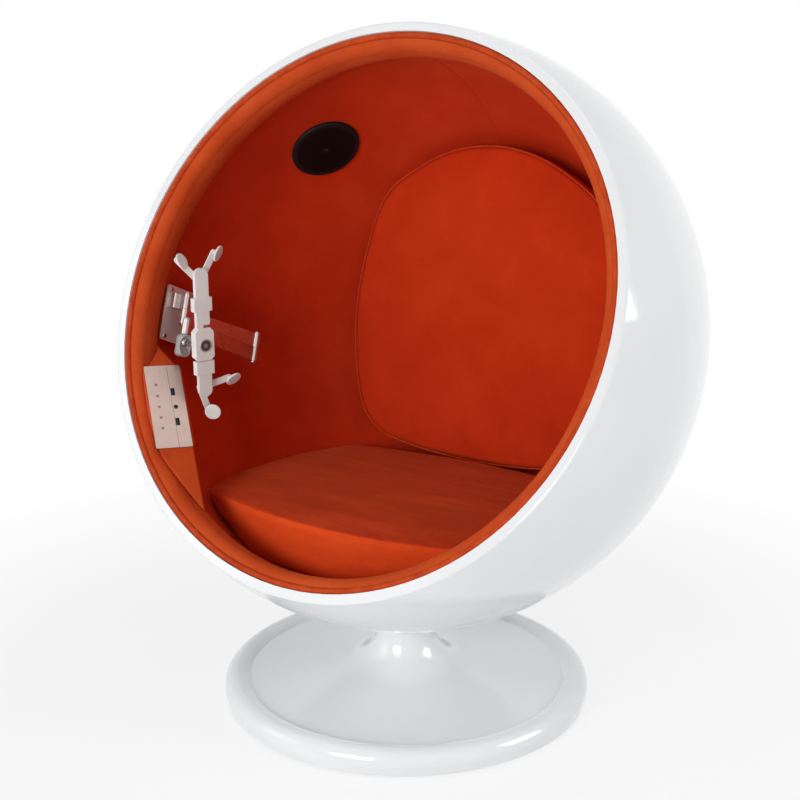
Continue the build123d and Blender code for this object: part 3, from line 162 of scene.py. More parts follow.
def mix_colours(tree, a, b, blend="MIX"):
    """Factor socket and colour of a Mix node for two colours."""
    node = add(tree, "ShaderNodeMix", data_type="RGBA", blend_type=blend)
    tree.links.new(a, node.inputs[MIX_A])
    tree.links.new(b, node.inputs[MIX_B])
    return node.inputs["Factor"], node.outputs[MIX_RESULT]


def painted_side_light(tree):
    """Share of painted side light: 0 on faces that look up, 1 on faces that stand or look down."""
    facing = add(tree, "ShaderNodeNewGeometry")
    parts = add(tree, "ShaderNodeSeparateXYZ")
    tree.links.new(facing.outputs["Normal"], parts.inputs["Vector"])
    node = add(tree, "ShaderNodeMapRange")
    node.inputs["From Min"].default_value = 0.80
    node.inputs["From Max"].default_value = 0.45
    tree.links.new(parts.outputs["Z"], node.inputs["Value"])
    return node.outputs["Result"]


def fabric(name, tones, nap=(1.0, 1.0, 1.0), turn=(0.0, 0.0, 0.0), sheen=0.18, patch=9.0, painted_lit_sides=None):
    """Short napped cloth: blotches of laid nap, fine fibre and a soft sheen.

    tones are its dark, middle and light colours. The second set of tones is painted light: lighter colours
    go on faces that stand or look down, so the tops read darker as painted shade.
    """
    material, tree, shader = new_material(name)
    laid = coords(tree, nap, turn)
    blotch = noise(tree, laid, patch, 5.0, 0.62)
    fibre = noise(tree, laid, 420.0, 3.0, 0.7)
    grain = noise(tree, coords(tree), 1400.0, 2.0, 0.6)
    tone = mix_values(tree, blotch, fibre, 0.28)
    stops = (0.30, 0.50, 0.72)
    colour = ramp(tree, tone, *zip(stops, tones))
    # Painted light and shade: faces that stand or look down take lighter tones than the tops.
    if painted_lit_sides is not None:
        factor, colour = mix_colours(tree, colour, ramp(tree, tone, *zip(stops, painted_lit_sides)))
        tree.links.new(painted_side_light(tree), factor)
    tree.links.new(colour, shader.inputs["Base Color"])
    rough = greys(tree, fibre, (0.2, 0.78), (0.8, 0.95))
    tree.links.new(rough, shader.inputs["Roughness"])
    shader.inputs["Sheen Weight"].default_value = sheen
    shader.inputs["Sheen Roughness"].default_value = 0.45
    shader.inputs["Sheen Tint"].default_value = (1.0, 0.30, 0.10, 1.0)
    shader.inputs["Specular IOR Level"].default_value = 0.06
    bump(tree, shader, mix_values(tree, fibre, grain, 0.5), 0.5, 0.0006)
    return material


def gelcoat():
    """White gloss fibreglass with a faint orange peel and slight clouding."""
    material, tree, shader = new_material("gelcoat_white")
    plain = coords(tree)
    cloud = noise(tree, plain, 3.0, 3.0, 0.5)
    colour = ramp(tree, cloud, (0.3, (0.80, 0.815, 0.83)), (0.7, (0.86, 0.87, 0.88)))
    tree.links.new(colour, shader.inputs["Base Color"])
    wipe = noise(tree, coords(tree, (1.0, 1.0, 4.0)), 14.0, 5.0, 0.6)
    rough = greys(tree, wipe, (0.3, 0.10), (0.75, 0.17))
    tree.links.new(rough, shader.inputs["Roughness"])
    shader.inputs["Coat Weight"].default_value = 0.6
    shader.inputs["Coat Roughness"].default_value = 0.05
    shader.inputs["IOR"].default_value = 1.5
    peel = noise(tree, plain, 70.0, 2.0, 0.5)
    bump(tree, shader, peel, 0.05, 0.0012)
    return material


def metal(
        name, low, high, rough, grain=(1.0, 1.0, 1.0), lines=160.0, strength=0.08, bare=1.0,
        drawn_in=None):
    """Metal with fine drawn lines and uneven polish.

    drawn_in turns the lines into a plate's own axes, and bare is how far the metal shows.
    """
    material, tree, shader = new_material(name)
    if drawn_in is None:
        laid = coords(tree, grain)
    else:
        laid = coords(tree, grain, drawn_in, "TEXTURE")
    drawn = noise(tree, laid, lines, 4.0, 0.65)
    tree.links.new(ramp(tree, drawn, (0.3, low), (0.7, high)), shader.inputs["Base Color"])
    smear = noise(tree, coords(tree), 40.0, 3.0, 0.6)
    polish = greys(tree, mix_values(tree, drawn, smear, 0.5), (0.3, rough[0]), (0.7, rough[1]))
    tree.links.new(polish, shader.inputs["Roughness"])
    shader.inputs["Metallic"].default_value = bare
    bump(tree, shader, drawn, strength, 0.0003)
    return material


def plastic(name, low, high, rough, size=500.0, strength=0.12):
    """Moulded plastic or rubber with a fine spark texture."""
    material, tree, shader = new_material(name)
    plain = coords(tree)
    cloud = noise(tree, plain, 25.0, 4.0, 0.6)
    tree.links.new(ramp(tree, cloud, (0.3, low), (0.7, high)), shader.inputs["Base Color"])
    spark = noise(tree, plain, size, 2.0, 0.6)
    polish = greys(tree, spark, (0.2, rough[0]), (0.8, rough[1]))
    tree.links.new(polish, shader.inputs["Roughness"])
    bump(tree, shader, spark, strength, 0.0002)
    return material


def foam():
    """Cream foam with small open cells."""
    material, tree, shader = new_material("foam_cream")
    pores = cells(tree, 500.0)
    colour = ramp(tree, pores, (0.0, (0.55, 0.48, 0.30)), (0.7, (0.80, 0.74, 0.55)))
    tree.links.new(colour, shader.inputs["Base Color"])
    shader.inputs["Roughness"].default_value = 0.95
    bump(tree, shader, pores, 0.4, 0.0006)
    return material


def plywood():
    material, tree, shader = new_material("plywood")
    grain = noise(tree, coords(tree, (30.0, 3.0, 60.0)), 3.0, 6.0, 0.6)
    colour = ramp(tree, grain, (0.3, (0.32, 0.18, 0.08)), (0.7, (0.55, 0.36, 0.18)))
    tree.links.new(colour, shader.inputs["Base Color"])
    shader.inputs["Roughness"].default_value = 0.7
    bump(tree, shader, grain, 0.15, 0.0004)
    return material


def ringed_badge(node):
    """Turned metal disc: bright rim, dark ring and a paler middle."""
    material, tree, shader = new_material("badge_grey")
    corners = np.array([tuple(v.co) for v in node.data.vertices])
    centre = 0.5 * (corners.min(0) + corners.max(0))
    thin = Vector(np.linalg.svd(corners - corners.mean(0), full_matrices=False)[2][2])
    reach = np.linalg.norm(np.cross(corners - centre, np.array(thin)), axis=1).max()
    place = off_axis(tree, Vector(centre), thin, 1.0 / reach)
    tone = greys(
        tree, place, (0.0, 0.30), (0.30, 0.34), (0.38, 0.12), (0.52, 0.14), (0.60, 0.06),
        (0.74, 0.07), (0.82, 0.42), (0.97, 0.46))
    tree.links.new(tone, shader.inputs["Base Color"])
    brushed = noise(tree, coords(tree), 900.0, 3.0, 0.6)
    rough = greys(tree, brushed, (0.3, 0.30), (0.7, 0.44))
    tree.links.new(rough, shader.inputs["Roughness"])
    shader.inputs["Metallic"].default_value = 0.6
    bump(tree, shader, place, 0.15, 0.0004)
    return material


def mesh_cloth(name, axis):
    """Black acoustic cloth with a fine open weave, faint dark bands and a paler edge, and a lighter spot at
    the middle that is a painted highlight of a small dome.
    """
    material, tree, shader = new_material(name)
    holes = cells(tree, 700.0, 0.25)
    # Painted highlight: the lighter spot at the middle stands in for a glint on a small dome; the bands and
    # the paler edge are the cloth's own tone.
    rings_and_painted_glint = greys(
        tree, off_axis(tree, CENTRE, axis, 10.0), (0.0, 0.035), (0.035, 0.030), (0.05, 0.004),
        (0.085, 0.010), (0.11, 0.003), (0.56, 0.005), (0.60, 0.014))
    weave = greys(tree, holes, (0.15, 0.55), (0.6, 1.0))
    factor, colour = mix_colours(tree, rings_and_painted_glint, weave, "MULTIPLY")
    factor.default_value = 1.0
    tree.links.new(colour, shader.inputs["Base Color"])
    shader.inputs["Roughness"].default_value = 0.5
    shader.inputs["Specular IOR Level"].default_value = 0.16
    bump(tree, shader, holes, 0.35, 0.0005)
    return material


# Axes of the panel's plates, across and out of their front
PANEL_ACROSS = Vector((0.585, 0.81, -0.045)).normalized()
PANEL_OUT = Vector((0.6226, -0.4126, 0.666)).normalized()
PANEL_TURN = Matrix((PANEL_ACROSS, PANEL_OUT.cross(PANEL_ACROSS), PANEL_OUT)).transposed().to_euler()

ROLL = fabric(
    "roll_cloth", ((0.46, 0.050, 0.010), (0.56, 0.070, 0.015), (0.64, 0.098, 0.024)))
LINING = fabric(
    "lining_cloth", ((0.47, 0.024, 0.005), (0.57, 0.034, 0.007), (0.67, 0.050, 0.012)), patch=5.0)
# Seat velvet: its top tones are darker as painted shade, and the lighter tones of its front and flanks are
# painted light.
SEAT = fabric(
    "seat_velvet", ((0.32, 0.020, 0.005), (0.46, 0.034, 0.008), (0.62, 0.062, 0.016)),
    nap=(0.35, 1.6, 1.0), turn=(0.0, 0.0, 0.35), sheen=0.25, patch=14.0,
    painted_lit_sides=((0.54, 0.044, 0.007), (0.68, 0.066, 0.011), (0.80, 0.095, 0.018)))
BACKREST = fabric(
    "back_velvet", ((0.48, 0.026, 0.004), (0.58, 0.036, 0.006), (0.67, 0.050, 0.010)), patch=6.0)
PIPING = fabric(
    "piping_cloth", ((0.46, 0.034, 0.007), (0.56, 0.050, 0.011), (0.64, 0.075, 0.018)), patch=60.0)
WELT = fabric(
    "welt_cloth", ((0.42, 0.040, 0.010), (0.53, 0.062, 0.015), (0.64, 0.098, 0.025)), patch=40.0)
WHITE = gelcoat()
STEEL = metal("turned_steel", (0.45, 0.45, 0.46), (0.60, 0.60, 0.61), (0.22, 0.38))
SATIN = metal(
    "satin_steel", (0.56, 0.51, 0.49), (0.70, 0.65, 0.63), (0.24, 0.36),
    grain=(4.0, 0.25, 0.25), lines=120.0, strength=0.04, bare=0.95)
PLATE = metal(
    "plate_steel", (0.62, 0.53, 0.50), (0.74, 0.65, 0.62), (0.34, 0.46),
    grain=(4.0, 0.25, 0.25), lines=120.0, strength=0.04, bare=0.2)
PANEL_METAL = metal(
    "panel_metal", (0.385, 0.285, 0.255), (0.435, 0.325, 0.29), (0.32, 0.42),
    grain=(0.35, 8.0, 8.0), lines=300.0, strength=0.05, drawn_in=PANEL_TURN)
BADGE = ringed_badge(nodes["holder_badge"])
BLACK_COAT = plastic("black_coat", (0.012, 0.012, 0.013), (0.025, 0.025, 0.027), (0.45, 0.6))
BLACK = plastic("black_plastic", (0.010, 0.010, 0.011), (0.020, 0.020, 0.022), (0.35, 0.5))
RUBBER = plastic("pad_rubber", (0.020, 0.020, 0.020), (0.035, 0.034, 0.033), (0.75, 0.9))
NYLON = plastic("nylon", (0.62, 0.60, 0.55), (0.72, 0.70, 0.64), (0.4, 0.55))
HOLDER = plastic("holder_white", (0.72, 0.70, 0.68), (0.80, 0.78, 0.76), (0.52, 0.64))
CLAMP = plastic("clamp_grey", (0.30, 0.29, 0.28), (0.40, 0.39, 0.38), (0.35, 0.5))
GRIP = plastic(
    "grip_white", (0.66, 0.65, 0.63), (0.76, 0.75, 0.73), (0.5, 0.7), size=900.0, strength=0.3)
BOARD = plastic("board_green", (0.010, 0.10, 0.04), (0.020, 0.16, 0.07), (0.35, 0.5))
PRINT = plastic("print_grey", (0.22, 0.165, 0.15), (0.28, 0.215, 0.195), (0.4, 0.6))
FOAM = foam()
PLYWOOD = plywood()

COATS = {
    "base_shell": WHITE, "outer_shell": WHITE, "base_plate": BLACK_COAT, "floor_pad": RUBBER,
    "column_tube": STEEL, "upper_bush": NYLON, "lower_bush": NYLON, "thrust_washer": NYLON,
    "base_screws": STEEL, "swivel_spindle": STEEL, "retaining_ring": STEEL, "mount_plate": BLACK_COAT,
    "mount_bolts": STEEL, "foam_liner": FOAM, "seat_block": FOAM, "back_block": FOAM,
    "fabric_lining": LINING, "rim_roll": ROLL, "rim_welt": WELT, "seat_cushion": SEAT,
    "back_cushion": BACKREST, "power_inlet": BLACK, "panel_pod": ROLL, "touch_plate": PANEL_METAL,
    "socket_plate": PANEL_METAL, "panel_housing": BLACK, "circuit_board": BOARD, "usb_sockets": BLACK,
    "audio_jack": BLACK, "touch_icons": PRINT, "wall_block": PLYWOOD, "wall_plate": PLATE,
    "plate_screws": STEEL, "wall_bracket": SATIN, "shoulder_pin": STEEL, "arm_link_1": SATIN,
    "elbow_pin": STEEL, "arm_link_2": SATIN, "ball_clamp": CLAMP, "ball_stud": STEEL,
    "holder_body": HOLDER, "holder_badge": BADGE, "upper_bar": HOLDER, "lower_bar": HOLDER,
    "speaker_grille_left": mesh_cloth("acoustic_cloth_left", speaker_axis(1.0)),
    "speaker_grille_right": mesh_cloth("acoustic_cloth_right", speaker_axis(-1.0)),
}


def coat_of(name):
    """Material of a node; those of the four claws and the speakers' inner parts go by their names."""
    if name in COATS:
        return COATS[name]
    if name.startswith("speaker"):
        return BLACK_COAT
    return GRIP if name.startswith("claw_pad") else HOLDER


def one_coat(mesh, material):
    mesh.materials.clear()
    mesh.materials.append(material)


for name, node in nodes.items():
    one_coat(node.data, coat_of(name))

# Shapes


def linked(name, mesh):
    piece = bpy.data.objects.new(name, mesh)
    scene.collection.objects.link(piece)
    return piece


def piece_of(name, verts, faces, material):
    mesh = bpy.data.meshes.new(name)
    mesh.from_pydata([tuple(v) for v in verts], [], faces)
    mesh.validate()
    mesh.shade_smooth()
    mesh.materials.append(material)
    return linked(name, mesh)


def modified(piece, kind, **values):
    """Put what a modifier makes of a piece into its mesh."""
    modifier = piece.modifiers.new(kind.lower(), kind)
    for key, value in values.items():
        setattr(modifier, key, value)
    graph = bpy.context.evaluated_depsgraph_get()
    mesh = bpy.data.meshes.new_from_object(piece.evaluated_get(graph))
    before = piece.data
    piece.modifiers.clear()
    piece.data = mesh
    bpy.data.meshes.remove(before)
    mesh.name = piece.name
    mesh.shade_smooth()


def rows_of(mesh, kind):
    """A mesh's places ("co") or normals ("normal"), one row for each vertex."""
    flat = np.empty(3 * len(mesh.vertices), np.float32)
    mesh.vertices.foreach_get(kind, flat)
    return flat.reshape(-1, 3).astype(float)


def put(mesh, points):
    mesh.vertices.foreach_set("co", points.astype(np.float32).ravel())
    mesh.update()


def flip(p):
    return (-p[0], p[1])


def arc(a, b, c, count):
    """Points from a towards c on the circle through a, b and c, without c."""
    (ax, ay), (bx, by), (cx, cy) = a, b, c
    d = 2 * (ax * (by - cy) + bx * (cy - ay) + cx * (ay - by))
    aa, bb, cc = ax * ax + ay * ay, bx * bx + by * by, cx * cx + cy * cy
    ux = (aa * (by - cy) + bb * (cy - ay) + cc * (ay - by)) / d
    uy = (aa * (cx - bx) + bb * (ax - cx) + cc * (bx - ax)) / d
    r = math.hypot(ax - ux, ay - uy)
    start = math.atan2(ay - uy, ax - ux)
    sweep = (math.atan2(cy - uy, cx - ux) - start) % math.tau
    if (math.atan2(by - uy, bx - ux) - start) % math.tau > sweep:
        sweep -= math.tau
    turns = [start + sweep * i / count for i in range(count)]
    return [(ux + r * math.cos(t), uy + r * math.sin(t)) for t in turns]


def even_loop(points, count, rounding):
    """Closed line through points at even steps, with its corners rounded."""
    line = np.array(points + points[:1])
    steps = np.linalg.norm(np.diff(line, axis=0), axis=1)
    along = np.concatenate([[0.0], np.cumsum(steps)])
    want = np.linspace(0.0, along[-1], count, endpoint=False)
    loop = np.stack([np.interp(want, along, line[:, k]) for k in (0, 1)], axis=1)
    for _ in range(rounding):
        loop = 0.5 * loop + 0.25 * (np.roll(loop, 1, 0) + np.roll(loop, -1, 0))
    return loop


def band_faces(rows, count):
    """Quads that join rows of closed loops."""
    faces = []
    for row in range(rows - 1):
        for i in range(count):
            j = (i + 1) % count
            faces.append((row * count + i, row * count + j, (row + 1) * count + j, (row + 1) * count + i))
    return faces


def stacked(name, loop, steps, place, material):
    """Closed form from scaled copies of a plan line; place turns (x, y, height) into the frame."""
    rows = [place(x * scale, y * scale, height) for scale, height in steps for x, y in loop]
    count = len(loop)
    faces = band_faces(len(steps), count)
    faces.append(tuple(range(count - 1, -1, -1)))
    faces.append(tuple(range(len(rows) - count, len(rows))))
    return piece_of(name, rows, faces, material)


def cord_round(name, loop, radius, material):
    """Piping along a closed line of points."""
    curve = bpy.data.curves.new(name, "CURVE")
    curve.dimensions = "3D"
    curve.bevel_depth = radius
    curve.bevel_resolution = 3
    spline = curve.splines.new("POLY")
    spline.points.add(len(loop) - 1)
    for point, place in zip(spline.points, loop):
        point.co = (*place, 1.0)
    spline.use_cyclic_u = True
    maker = bpy.data.objects.new(name + "_line", curve)
    mesh = bpy.data.meshes.new_from_object(maker)
    bpy.data.objects.remove(maker)
    bpy.data.curves.remove(curve)
    mesh.name = name
    mesh.shade_smooth()
    one_coat(mesh, material)
    return linked(name, mesh)


def distances(points, line):
    """Distance of each point from the nearest point of a line."""
    tree = kdtree.KDTree(len(line))
    for i, p in enumerate(line):
        tree.insert(p, i)
    tree.balance()
    return np.array([tree.find(p)[2] for p in points])


COVER_VOXEL = 0.005
COVER_PRESSURE = 4.0
COVER_FRAMES = 20
# Seams hold the cloth out to the first distance and let go of it over the second
SEAM_HOLD, SEAM_FADE = 0.003, 0.010
SEAM_GROOVE = 0.0032


def swell(piece, before, cap):
    """Blow up a cover whose sewn points are held, and move it by cap at most."""
    cloth = piece.modifiers.new("cloth", "CLOTH")
    settings = cloth.settings
    settings.quality = 4
    settings.mass = 0.3
    settings.tension_stiffness = 18.0
    settings.compression_stiffness = 18.0
    settings.shear_stiffness = 8.0
    settings.bending_stiffness = 2.0
    settings.use_pressure = True
    settings.uniform_pressure_force = COVER_PRESSURE
    settings.vertex_group_mass = "sewn"
    settings.effector_weights.gravity = 0.0
    cloth.collision_settings.use_collision = False
    cloth.collision_settings.use_self_collision = False
    cloth.point_cache.frame_start = 1
    cloth.point_cache.frame_end = COVER_FRAMES
    for step in range(1, COVER_FRAMES + 1):
        scene.frame_set(step)
    graph = bpy.context.evaluated_depsgraph_get()
    after = rows_of(piece.evaluated_get(graph).to_mesh(), "co")
    piece.evaluated_get(graph).to_mesh_clear()
    piece.modifiers.clear()
    scene.frame_set(1)
    shift = after - before
    far = np.linalg.norm(shift, axis=1)
    keep = cap * np.tanh(far / cap) / np.maximum(far, 1e-9)
    put(piece.data, before + shift * keep[:, None])


def puff(piece, seam, rests, cap, groove):
    """Fill a sewn cover: its seam and where it rests stay, and its panels swell up to cap."""
    modified(piece, "REMESH", mode="VOXEL", voxel_size=COVER_VOXEL, use_smooth_shade=True)
    modified(piece, "SMOOTH", factor=0.5, iterations=4)
    before = rows_of(piece.data, "co")
    near = distances(before, seam)
    sewn = np.clip(1.0 - (near - SEAM_HOLD) / SEAM_FADE, 0.0, 1.0)
    grip = np.maximum(sewn, rests(before).astype(float))
    group = piece.vertex_groups.new(name="sewn")
    for i in np.nonzero(grip > 0.0)[0]:
        group.add([int(i)], float(grip[i]), "REPLACE")
    swell(piece, before, cap)
    piece.vertex_groups.clear()
    modified(piece, "SMOOTH", factor=0.5, iterations=3)
    modified(piece, "SUBSURF", levels=1, render_levels=1)
    mesh = piece.data
    now = rows_of(mesh, "co")
    depth = groove * np.exp(-(distances(now, seam) / SEAM_GROOVE) ** 2)
    put(mesh, now - rows_of(mesh, "normal") * depth[:, None])


# Reach of the soft pieces from the ball's centre, just inside the lining
CABIN = 0.4785


def keep_inside(piece):
    """Hold a piece inside the lining."""
    points = rows_of(piece.data, "co")
    arm = points - np.array(CENTRE)
    far = np.linalg.norm(arm, axis=1)
    over = far > CABIN
    points[over] = np.array(CENTRE) + arm[over] * (CABIN / far[over])[:, None]
    put(piece.data, points)


def settle(piece):
    """Give a skin the faint unevenness of foam under cloth, inside the lining."""
    mesh = piece.data
    points = rows_of(mesh, "co")
    lift = [
        field.noise(Vector(p) * 9.0) * 0.0011 + field.noise(Vector(p) * 31.0) * 0.0004
        for p in points]
    put(mesh, points + rows_of(mesh, "normal") * np.array(lift)[:, None])
    keep_inside(piece)


def soft(piece, body, slot, fill, *stands_for):
    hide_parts(*stands_for)
    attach(piece, body)


# Seat cushion

SEAT_BASE = 0.2843
SEAT_THICK = 0.102
SEAT_TOP = SEAT_BASE + SEAT_THICK
SEAT_LEAN = math.radians(1.7)


def seat_place(x, y, z):
    rise = z - SEAT_TOP
    return Vector((
        x,
        y * math.cos(SEAT_LEAN) + rise * math.sin(SEAT_LEAN),
        SEAT_TOP - y * math.sin(SEAT_LEAN) + rise * math.cos(SEAT_LEAN),
    ))


# Plan of the seat, half of it, from the middle of its front to the middle of its rear
front, corner, flank = (0.0, -0.262), (0.319, -0.190), (0.333, 0.010)
rear_corner, rear = (0.268, 0.216), (0.0, 0.246)
seat_plan = even_loop(
    arc(flip(corner), front, corner, 90) + arc(corner, flank, rear_corner, 70)
    + arc(rear_corner, rear, flip(rear_corner), 80) + arc(flip(rear_corner), flip(flank), flip(corner), 70),
    360, 9)
# Share of the plan, and of the thickness, from the underside to the middle of the top
SEAT_STEPS = (
    (0.30, 0.0), (0.60, 0.0), (0.84, 0.0), (0.885, 0.012), (0.905, 0.06), (0.928, 0.22), (0.952, 0.58),
    (0.966, 0.82), (0.971, 0.91), (0.969, 0.965), (0.958, 1.005), (0.935, 1.028), (0.85, 1.045),
    (0.65, 1.06), (0.40, 1.07), (0.15, 1.07),
)
SEAT_SEAM_SHARE = 0.970
SEAT_SEAM_HEIGHT = SEAT_BASE + 0.95 * SEAT_THICK


def seat_rests(points):
    """Where the seat lies on its block or on the bowl."""
    on_block = points[:, 2] < SEAT_BASE + 0.008
    on_bowl = np.linalg.norm(points - np.array(CENTRE), axis=1) > CABIN - 0.003
    return on_block | on_bowl


seat_steps = [(share, SEAT_BASE + height * SEAT_THICK) for share, height in SEAT_STEPS]
seat = stacked("seat_pad", seat_plan, seat_steps, seat_place, SEAT)
seat_seam = [
    seat_place(x * SEAT_SEAM_SHARE, y * SEAT_SEAM_SHARE, SEAT_SEAM_HEIGHT) for x, y in seat_plan]
keep_inside(seat)
puff(seat, seat_seam, seat_rests, cap=0.007, groove=0.0010)
settle(seat)
soft(seat, "ball", "seat_velvet", 0.85, "seat_cushion")

# Back cushion

BACK_LEAN = math.radians(5.0)
BACK_ORIGIN = Vector((0.0, 0.285, 0.690))
BACK_OUT = Vector((0.0, -math.cos(BACK_LEAN), math.sin(BACK_LEAN)))
BACK_RISE = Vector((0.0, math.sin(BACK_LEAN), math.cos(BACK_LEAN)))


def back_place(x, y, z):
    return BACK_ORIGIN + SIDE * x + BACK_RISE * y + BACK_OUT * z


# Plan of the back, half of it, from the middle of its top to the middle of its foot
crown, shoulder, shoulder_mid, upper = (0.0, 0.296), (0.180, 0.236), (0.240, 0.188), (0.268, 0.112)
waist, lower, corner_mid, foot = (0.301, -0.066), (0.284, -0.220), (0.262, -0.271), (0.218, -0.300)
foot_mid = (0.0, -0.322)
back_plan = even_loop(
    arc(flip(shoulder), crown, shoulder, 70) + arc(shoulder, shoulder_mid, upper, 30)
    + arc(upper, waist, lower, 60) + arc(lower, corner_mid, foot, 24)
    + arc(foot, foot_mid, flip(foot), 80) + arc(flip(foot), flip(corner_mid), flip(lower), 24)
    + arc(flip(lower), flip(waist), flip(upper), 60)
    + arc(flip(upper), flip(shoulder_mid), flip(shoulder), 30),
    400, 50)
# Share of the plan, and the height over its front seam, from the rear to the middle of the front
BACK_STEPS = (
    (0.30, -0.062), (0.60, -0.062), (0.84, -0.062), (0.89, -0.059), (0.95, -0.049), (0.982, -0.034),
    (0.990, -0.018), (0.990, -0.006), (0.986, -0.001), (0.975, 0.0015), (0.94, 0.0030), (0.85, 0.0045),
    (0.60, 0.0060), (0.30, 0.0065), (0.10, 0.0065),
)


def back_rests(points):
    """Where the back lies on its block."""
    return (points - np.array(BACK_ORIGIN)) @ np.array(BACK_OUT) < -0.055


back = stacked("back_pad", back_plan, BACK_STEPS, back_place, BACKREST)
back_seam = [back_place(x * 0.987, y * 0.987, -0.0025) for x, y in back_plan]
puff(back, back_seam, back_rests, cap=0.006, groove=0.0006)
settle(back)
soft(back, "ball", "back_velvet", 0.8, "back_cushion")
back_edge = [back_place(x * 0.991, y * 0.991, -0.0012) for x, y in back_plan]
back_cord = cord_round("back_piping", back_edge, 0.0018, PIPING)
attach(back_cord, "ball")

# Padded roll and piping round the opening

ROLL_ANGLES = 432


def turned(name, section, material, wave):
    """Closed ring from a closed section of (rho, offset).

    wave(angle, place in the section) moves its skin towards the axis.
    """
    rows = []
    for k in range(ROLL_ANGLES):
        angle = math.tau * k / ROLL_ANGLES
        for i, (rho, offset) in enumerate(section):
            rows.append(on_ring(rho - wave(angle, i / len(section)), offset, angle))
    count = len(section)
    faces = band_faces(ROLL_ANGLES, count)
    last = (ROLL_ANGLES - 1) * count
    for i in range(count):
        j = (i + 1) % count
        faces.append((last + i, last + j, j, i))
    return piece_of(name, rows, faces, material)


# Section of the roll: the skin from the piping over the crest to the lining, then the hidden side
nose, crest, tail = (0.4622, 0.1875), (0.4460, 0.1650), (0.4668, 0.1120)
front_mid = (crest[0] + 0.27 * (nose[0] - crest[0]), crest[1] + 0.68 * (nose[1] - crest[1]))
back_mid = (crest[0] + 0.16 * (tail[0] - crest[0]), crest[1] + 0.55 * (tail[1] - crest[1]))
roll_skin = arc(nose, front_mid, crest, 14) + arc(crest, back_mid, tail, 22)
roll_section = roll_skin + [
    tail, (0.4900, 0.1125), (0.5060, 0.1127), (0.4995, 0.1400), (0.4860, 0.1790), (0.4718, 0.1792),
    (0.4632, 0.1796)]


def roll_wave(angle, share):
    """Slow unevenness of the foam and short pulls of the cloth, none at the hidden side."""
    if share * len(roll_section) > len(roll_skin):
        return 0.0
    along = Vector((math.cos(angle), math.sin(angle), 0.35 * share))
    pull = math.sin(math.pi * min(1.0, share * len(roll_section) / len(roll_skin)))
    return pull * (field.noise(along * 6.0) * 0.0012 + field.noise(along * 46.0) * 0.00045)


roll = turned("rim_pad", roll_section, ROLL, roll_wave)
soft(roll, "ball", "roll_orange", 0.9, "rim_roll")

WELT_RHO, WELT_OFFSET, WELT_RADIUS, WELT_SIDES = 0.4673, 0.1878, 0.0048, 20
welt_turns = [math.tau * i / WELT_SIDES for i in range(WELT_SIDES)]
welt_section = [
    (WELT_RHO + WELT_RADIUS * math.cos(t), WELT_OFFSET + WELT_RADIUS * math.sin(t)) for t in welt_turns]


def welt_wave(angle, share):
    """Short pulls of the piping's cloth."""
    return 0.00025 * field.noise(Vector((math.cos(angle), math.sin(angle), share)) * 60.0)


welt = turned("rim_piping", welt_section, WELT, welt_wave)
soft(welt, "ball", "welt_orange", 1.0, "rim_welt")

# Lining of the ball, in three gores sewn together

LINING_R = 0.480
LINING_THICK = 0.0012
LINING_END = 0.1117
LINING_ANGLES = 240
LINING_ROWS = 110
# Angle from the axis at which the rows start, round a small face at the middle
LINING_START = 0.02
SEAMS = [math.radians(a) for a in (-2.0, 148.0, -152.0)]
# Columns beside a seam, which take the place of the even ones within SEAM_ROOM of it
SEAM_STEPS = (-0.020, -0.011, -0.006, -0.003, -0.0015, 0.0, 0.0015, 0.003, 0.006, 0.011, 0.020)
SEAM_ROOM = 0.048
# Holes in the lining behind the speakers and over the fixing of the foot
SPEAKER_HOLE_R, SPEAKER_HOLE_DEPTH = 0.0615, 0.40
FOOT_HOLE_R, FOOT_HOLE_TOP = 0.080, 0.35


def from_seam(angle, seam):
    return abs((angle - seam + math.pi) % math.tau - math.pi)


def lining_radius(theta, angle):
    """Radius of the lining: drawn in at each seam, and faintly uneven over the foam."""
    side = min(from_seam(angle, seam) for seam in SEAMS) * LINING_R * math.sin(theta)
    sewn = 0.0011 * math.exp(-(side / 0.0022) ** 2) - 0.0005 * math.exp(-((side - 0.0075) / 0.0045) ** 2)
    at = Vector((math.cos(angle) * math.sin(theta), math.sin(angle) * math.sin(theta), math.cos(theta)))
    return LINING_R - LINING_THICK + sewn + 0.0006 * field.noise(at * 5.0)


def behind_speaker(corners, axis):
    """Whether a face of the lining lies in the hole for the speaker on this axis."""
    arms = [c - CENTRE for c in corners]
    return all(a.dot(axis) > SPEAKER_HOLE_DEPTH and a.cross(axis).length < SPEAKER_HOLE_R for a in arms)


def over_foot(corners):
    """Whether a face of the lining lies in the hole over the fixing of the foot."""
    return all(math.hypot(c.x, c.y) < FOOT_HOLE_R and c.z < FOOT_HOLE_TOP for c in corners)


angles = set(math.tau * k / LINING_ANGLES for k in range(LINING_ANGLES))
for seam in SEAMS:
    angles = {a for a in angles if from_seam(a, seam) > SEAM_ROOM}
    angles |= {(seam + s / LINING_R) % math.tau for s in SEAM_STEPS}
angles = sorted(angles)
spread = math.acos(-LINING_END / LINING_R) - LINING_START
polar = [LINING_START + spread * k / LINING_ROWS for k in range(LINING_ROWS + 1)]
rows = []
for theta in polar:
    for angle in angles:
        r = lining_radius(theta, angle)
        rows.append(on_ring(r * math.sin(theta), -r * math.cos(theta), angle))
speaker_axes = [speaker_axis(-1.0), speaker_axis(1.0)]
faces = []
for face in band_faces(len(polar), len(angles)):
    corners = [rows[i] for i in face]
    if not (any(behind_speaker(corners, axis) for axis in speaker_axes) or over_foot(corners)):
        faces.append(face)
faces.append(tuple(range(len(angles) - 1, -1, -1)))
lining = piece_of("ball_lining", rows, faces, LINING)
modified(lining, "SOLIDIFY", thickness=LINING_THICK, offset=-1.0)
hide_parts("fabric_lining")
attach(lining, "ball")

# Covered foam under and behind the cushions, the pod that carries the panel and the block at the arm


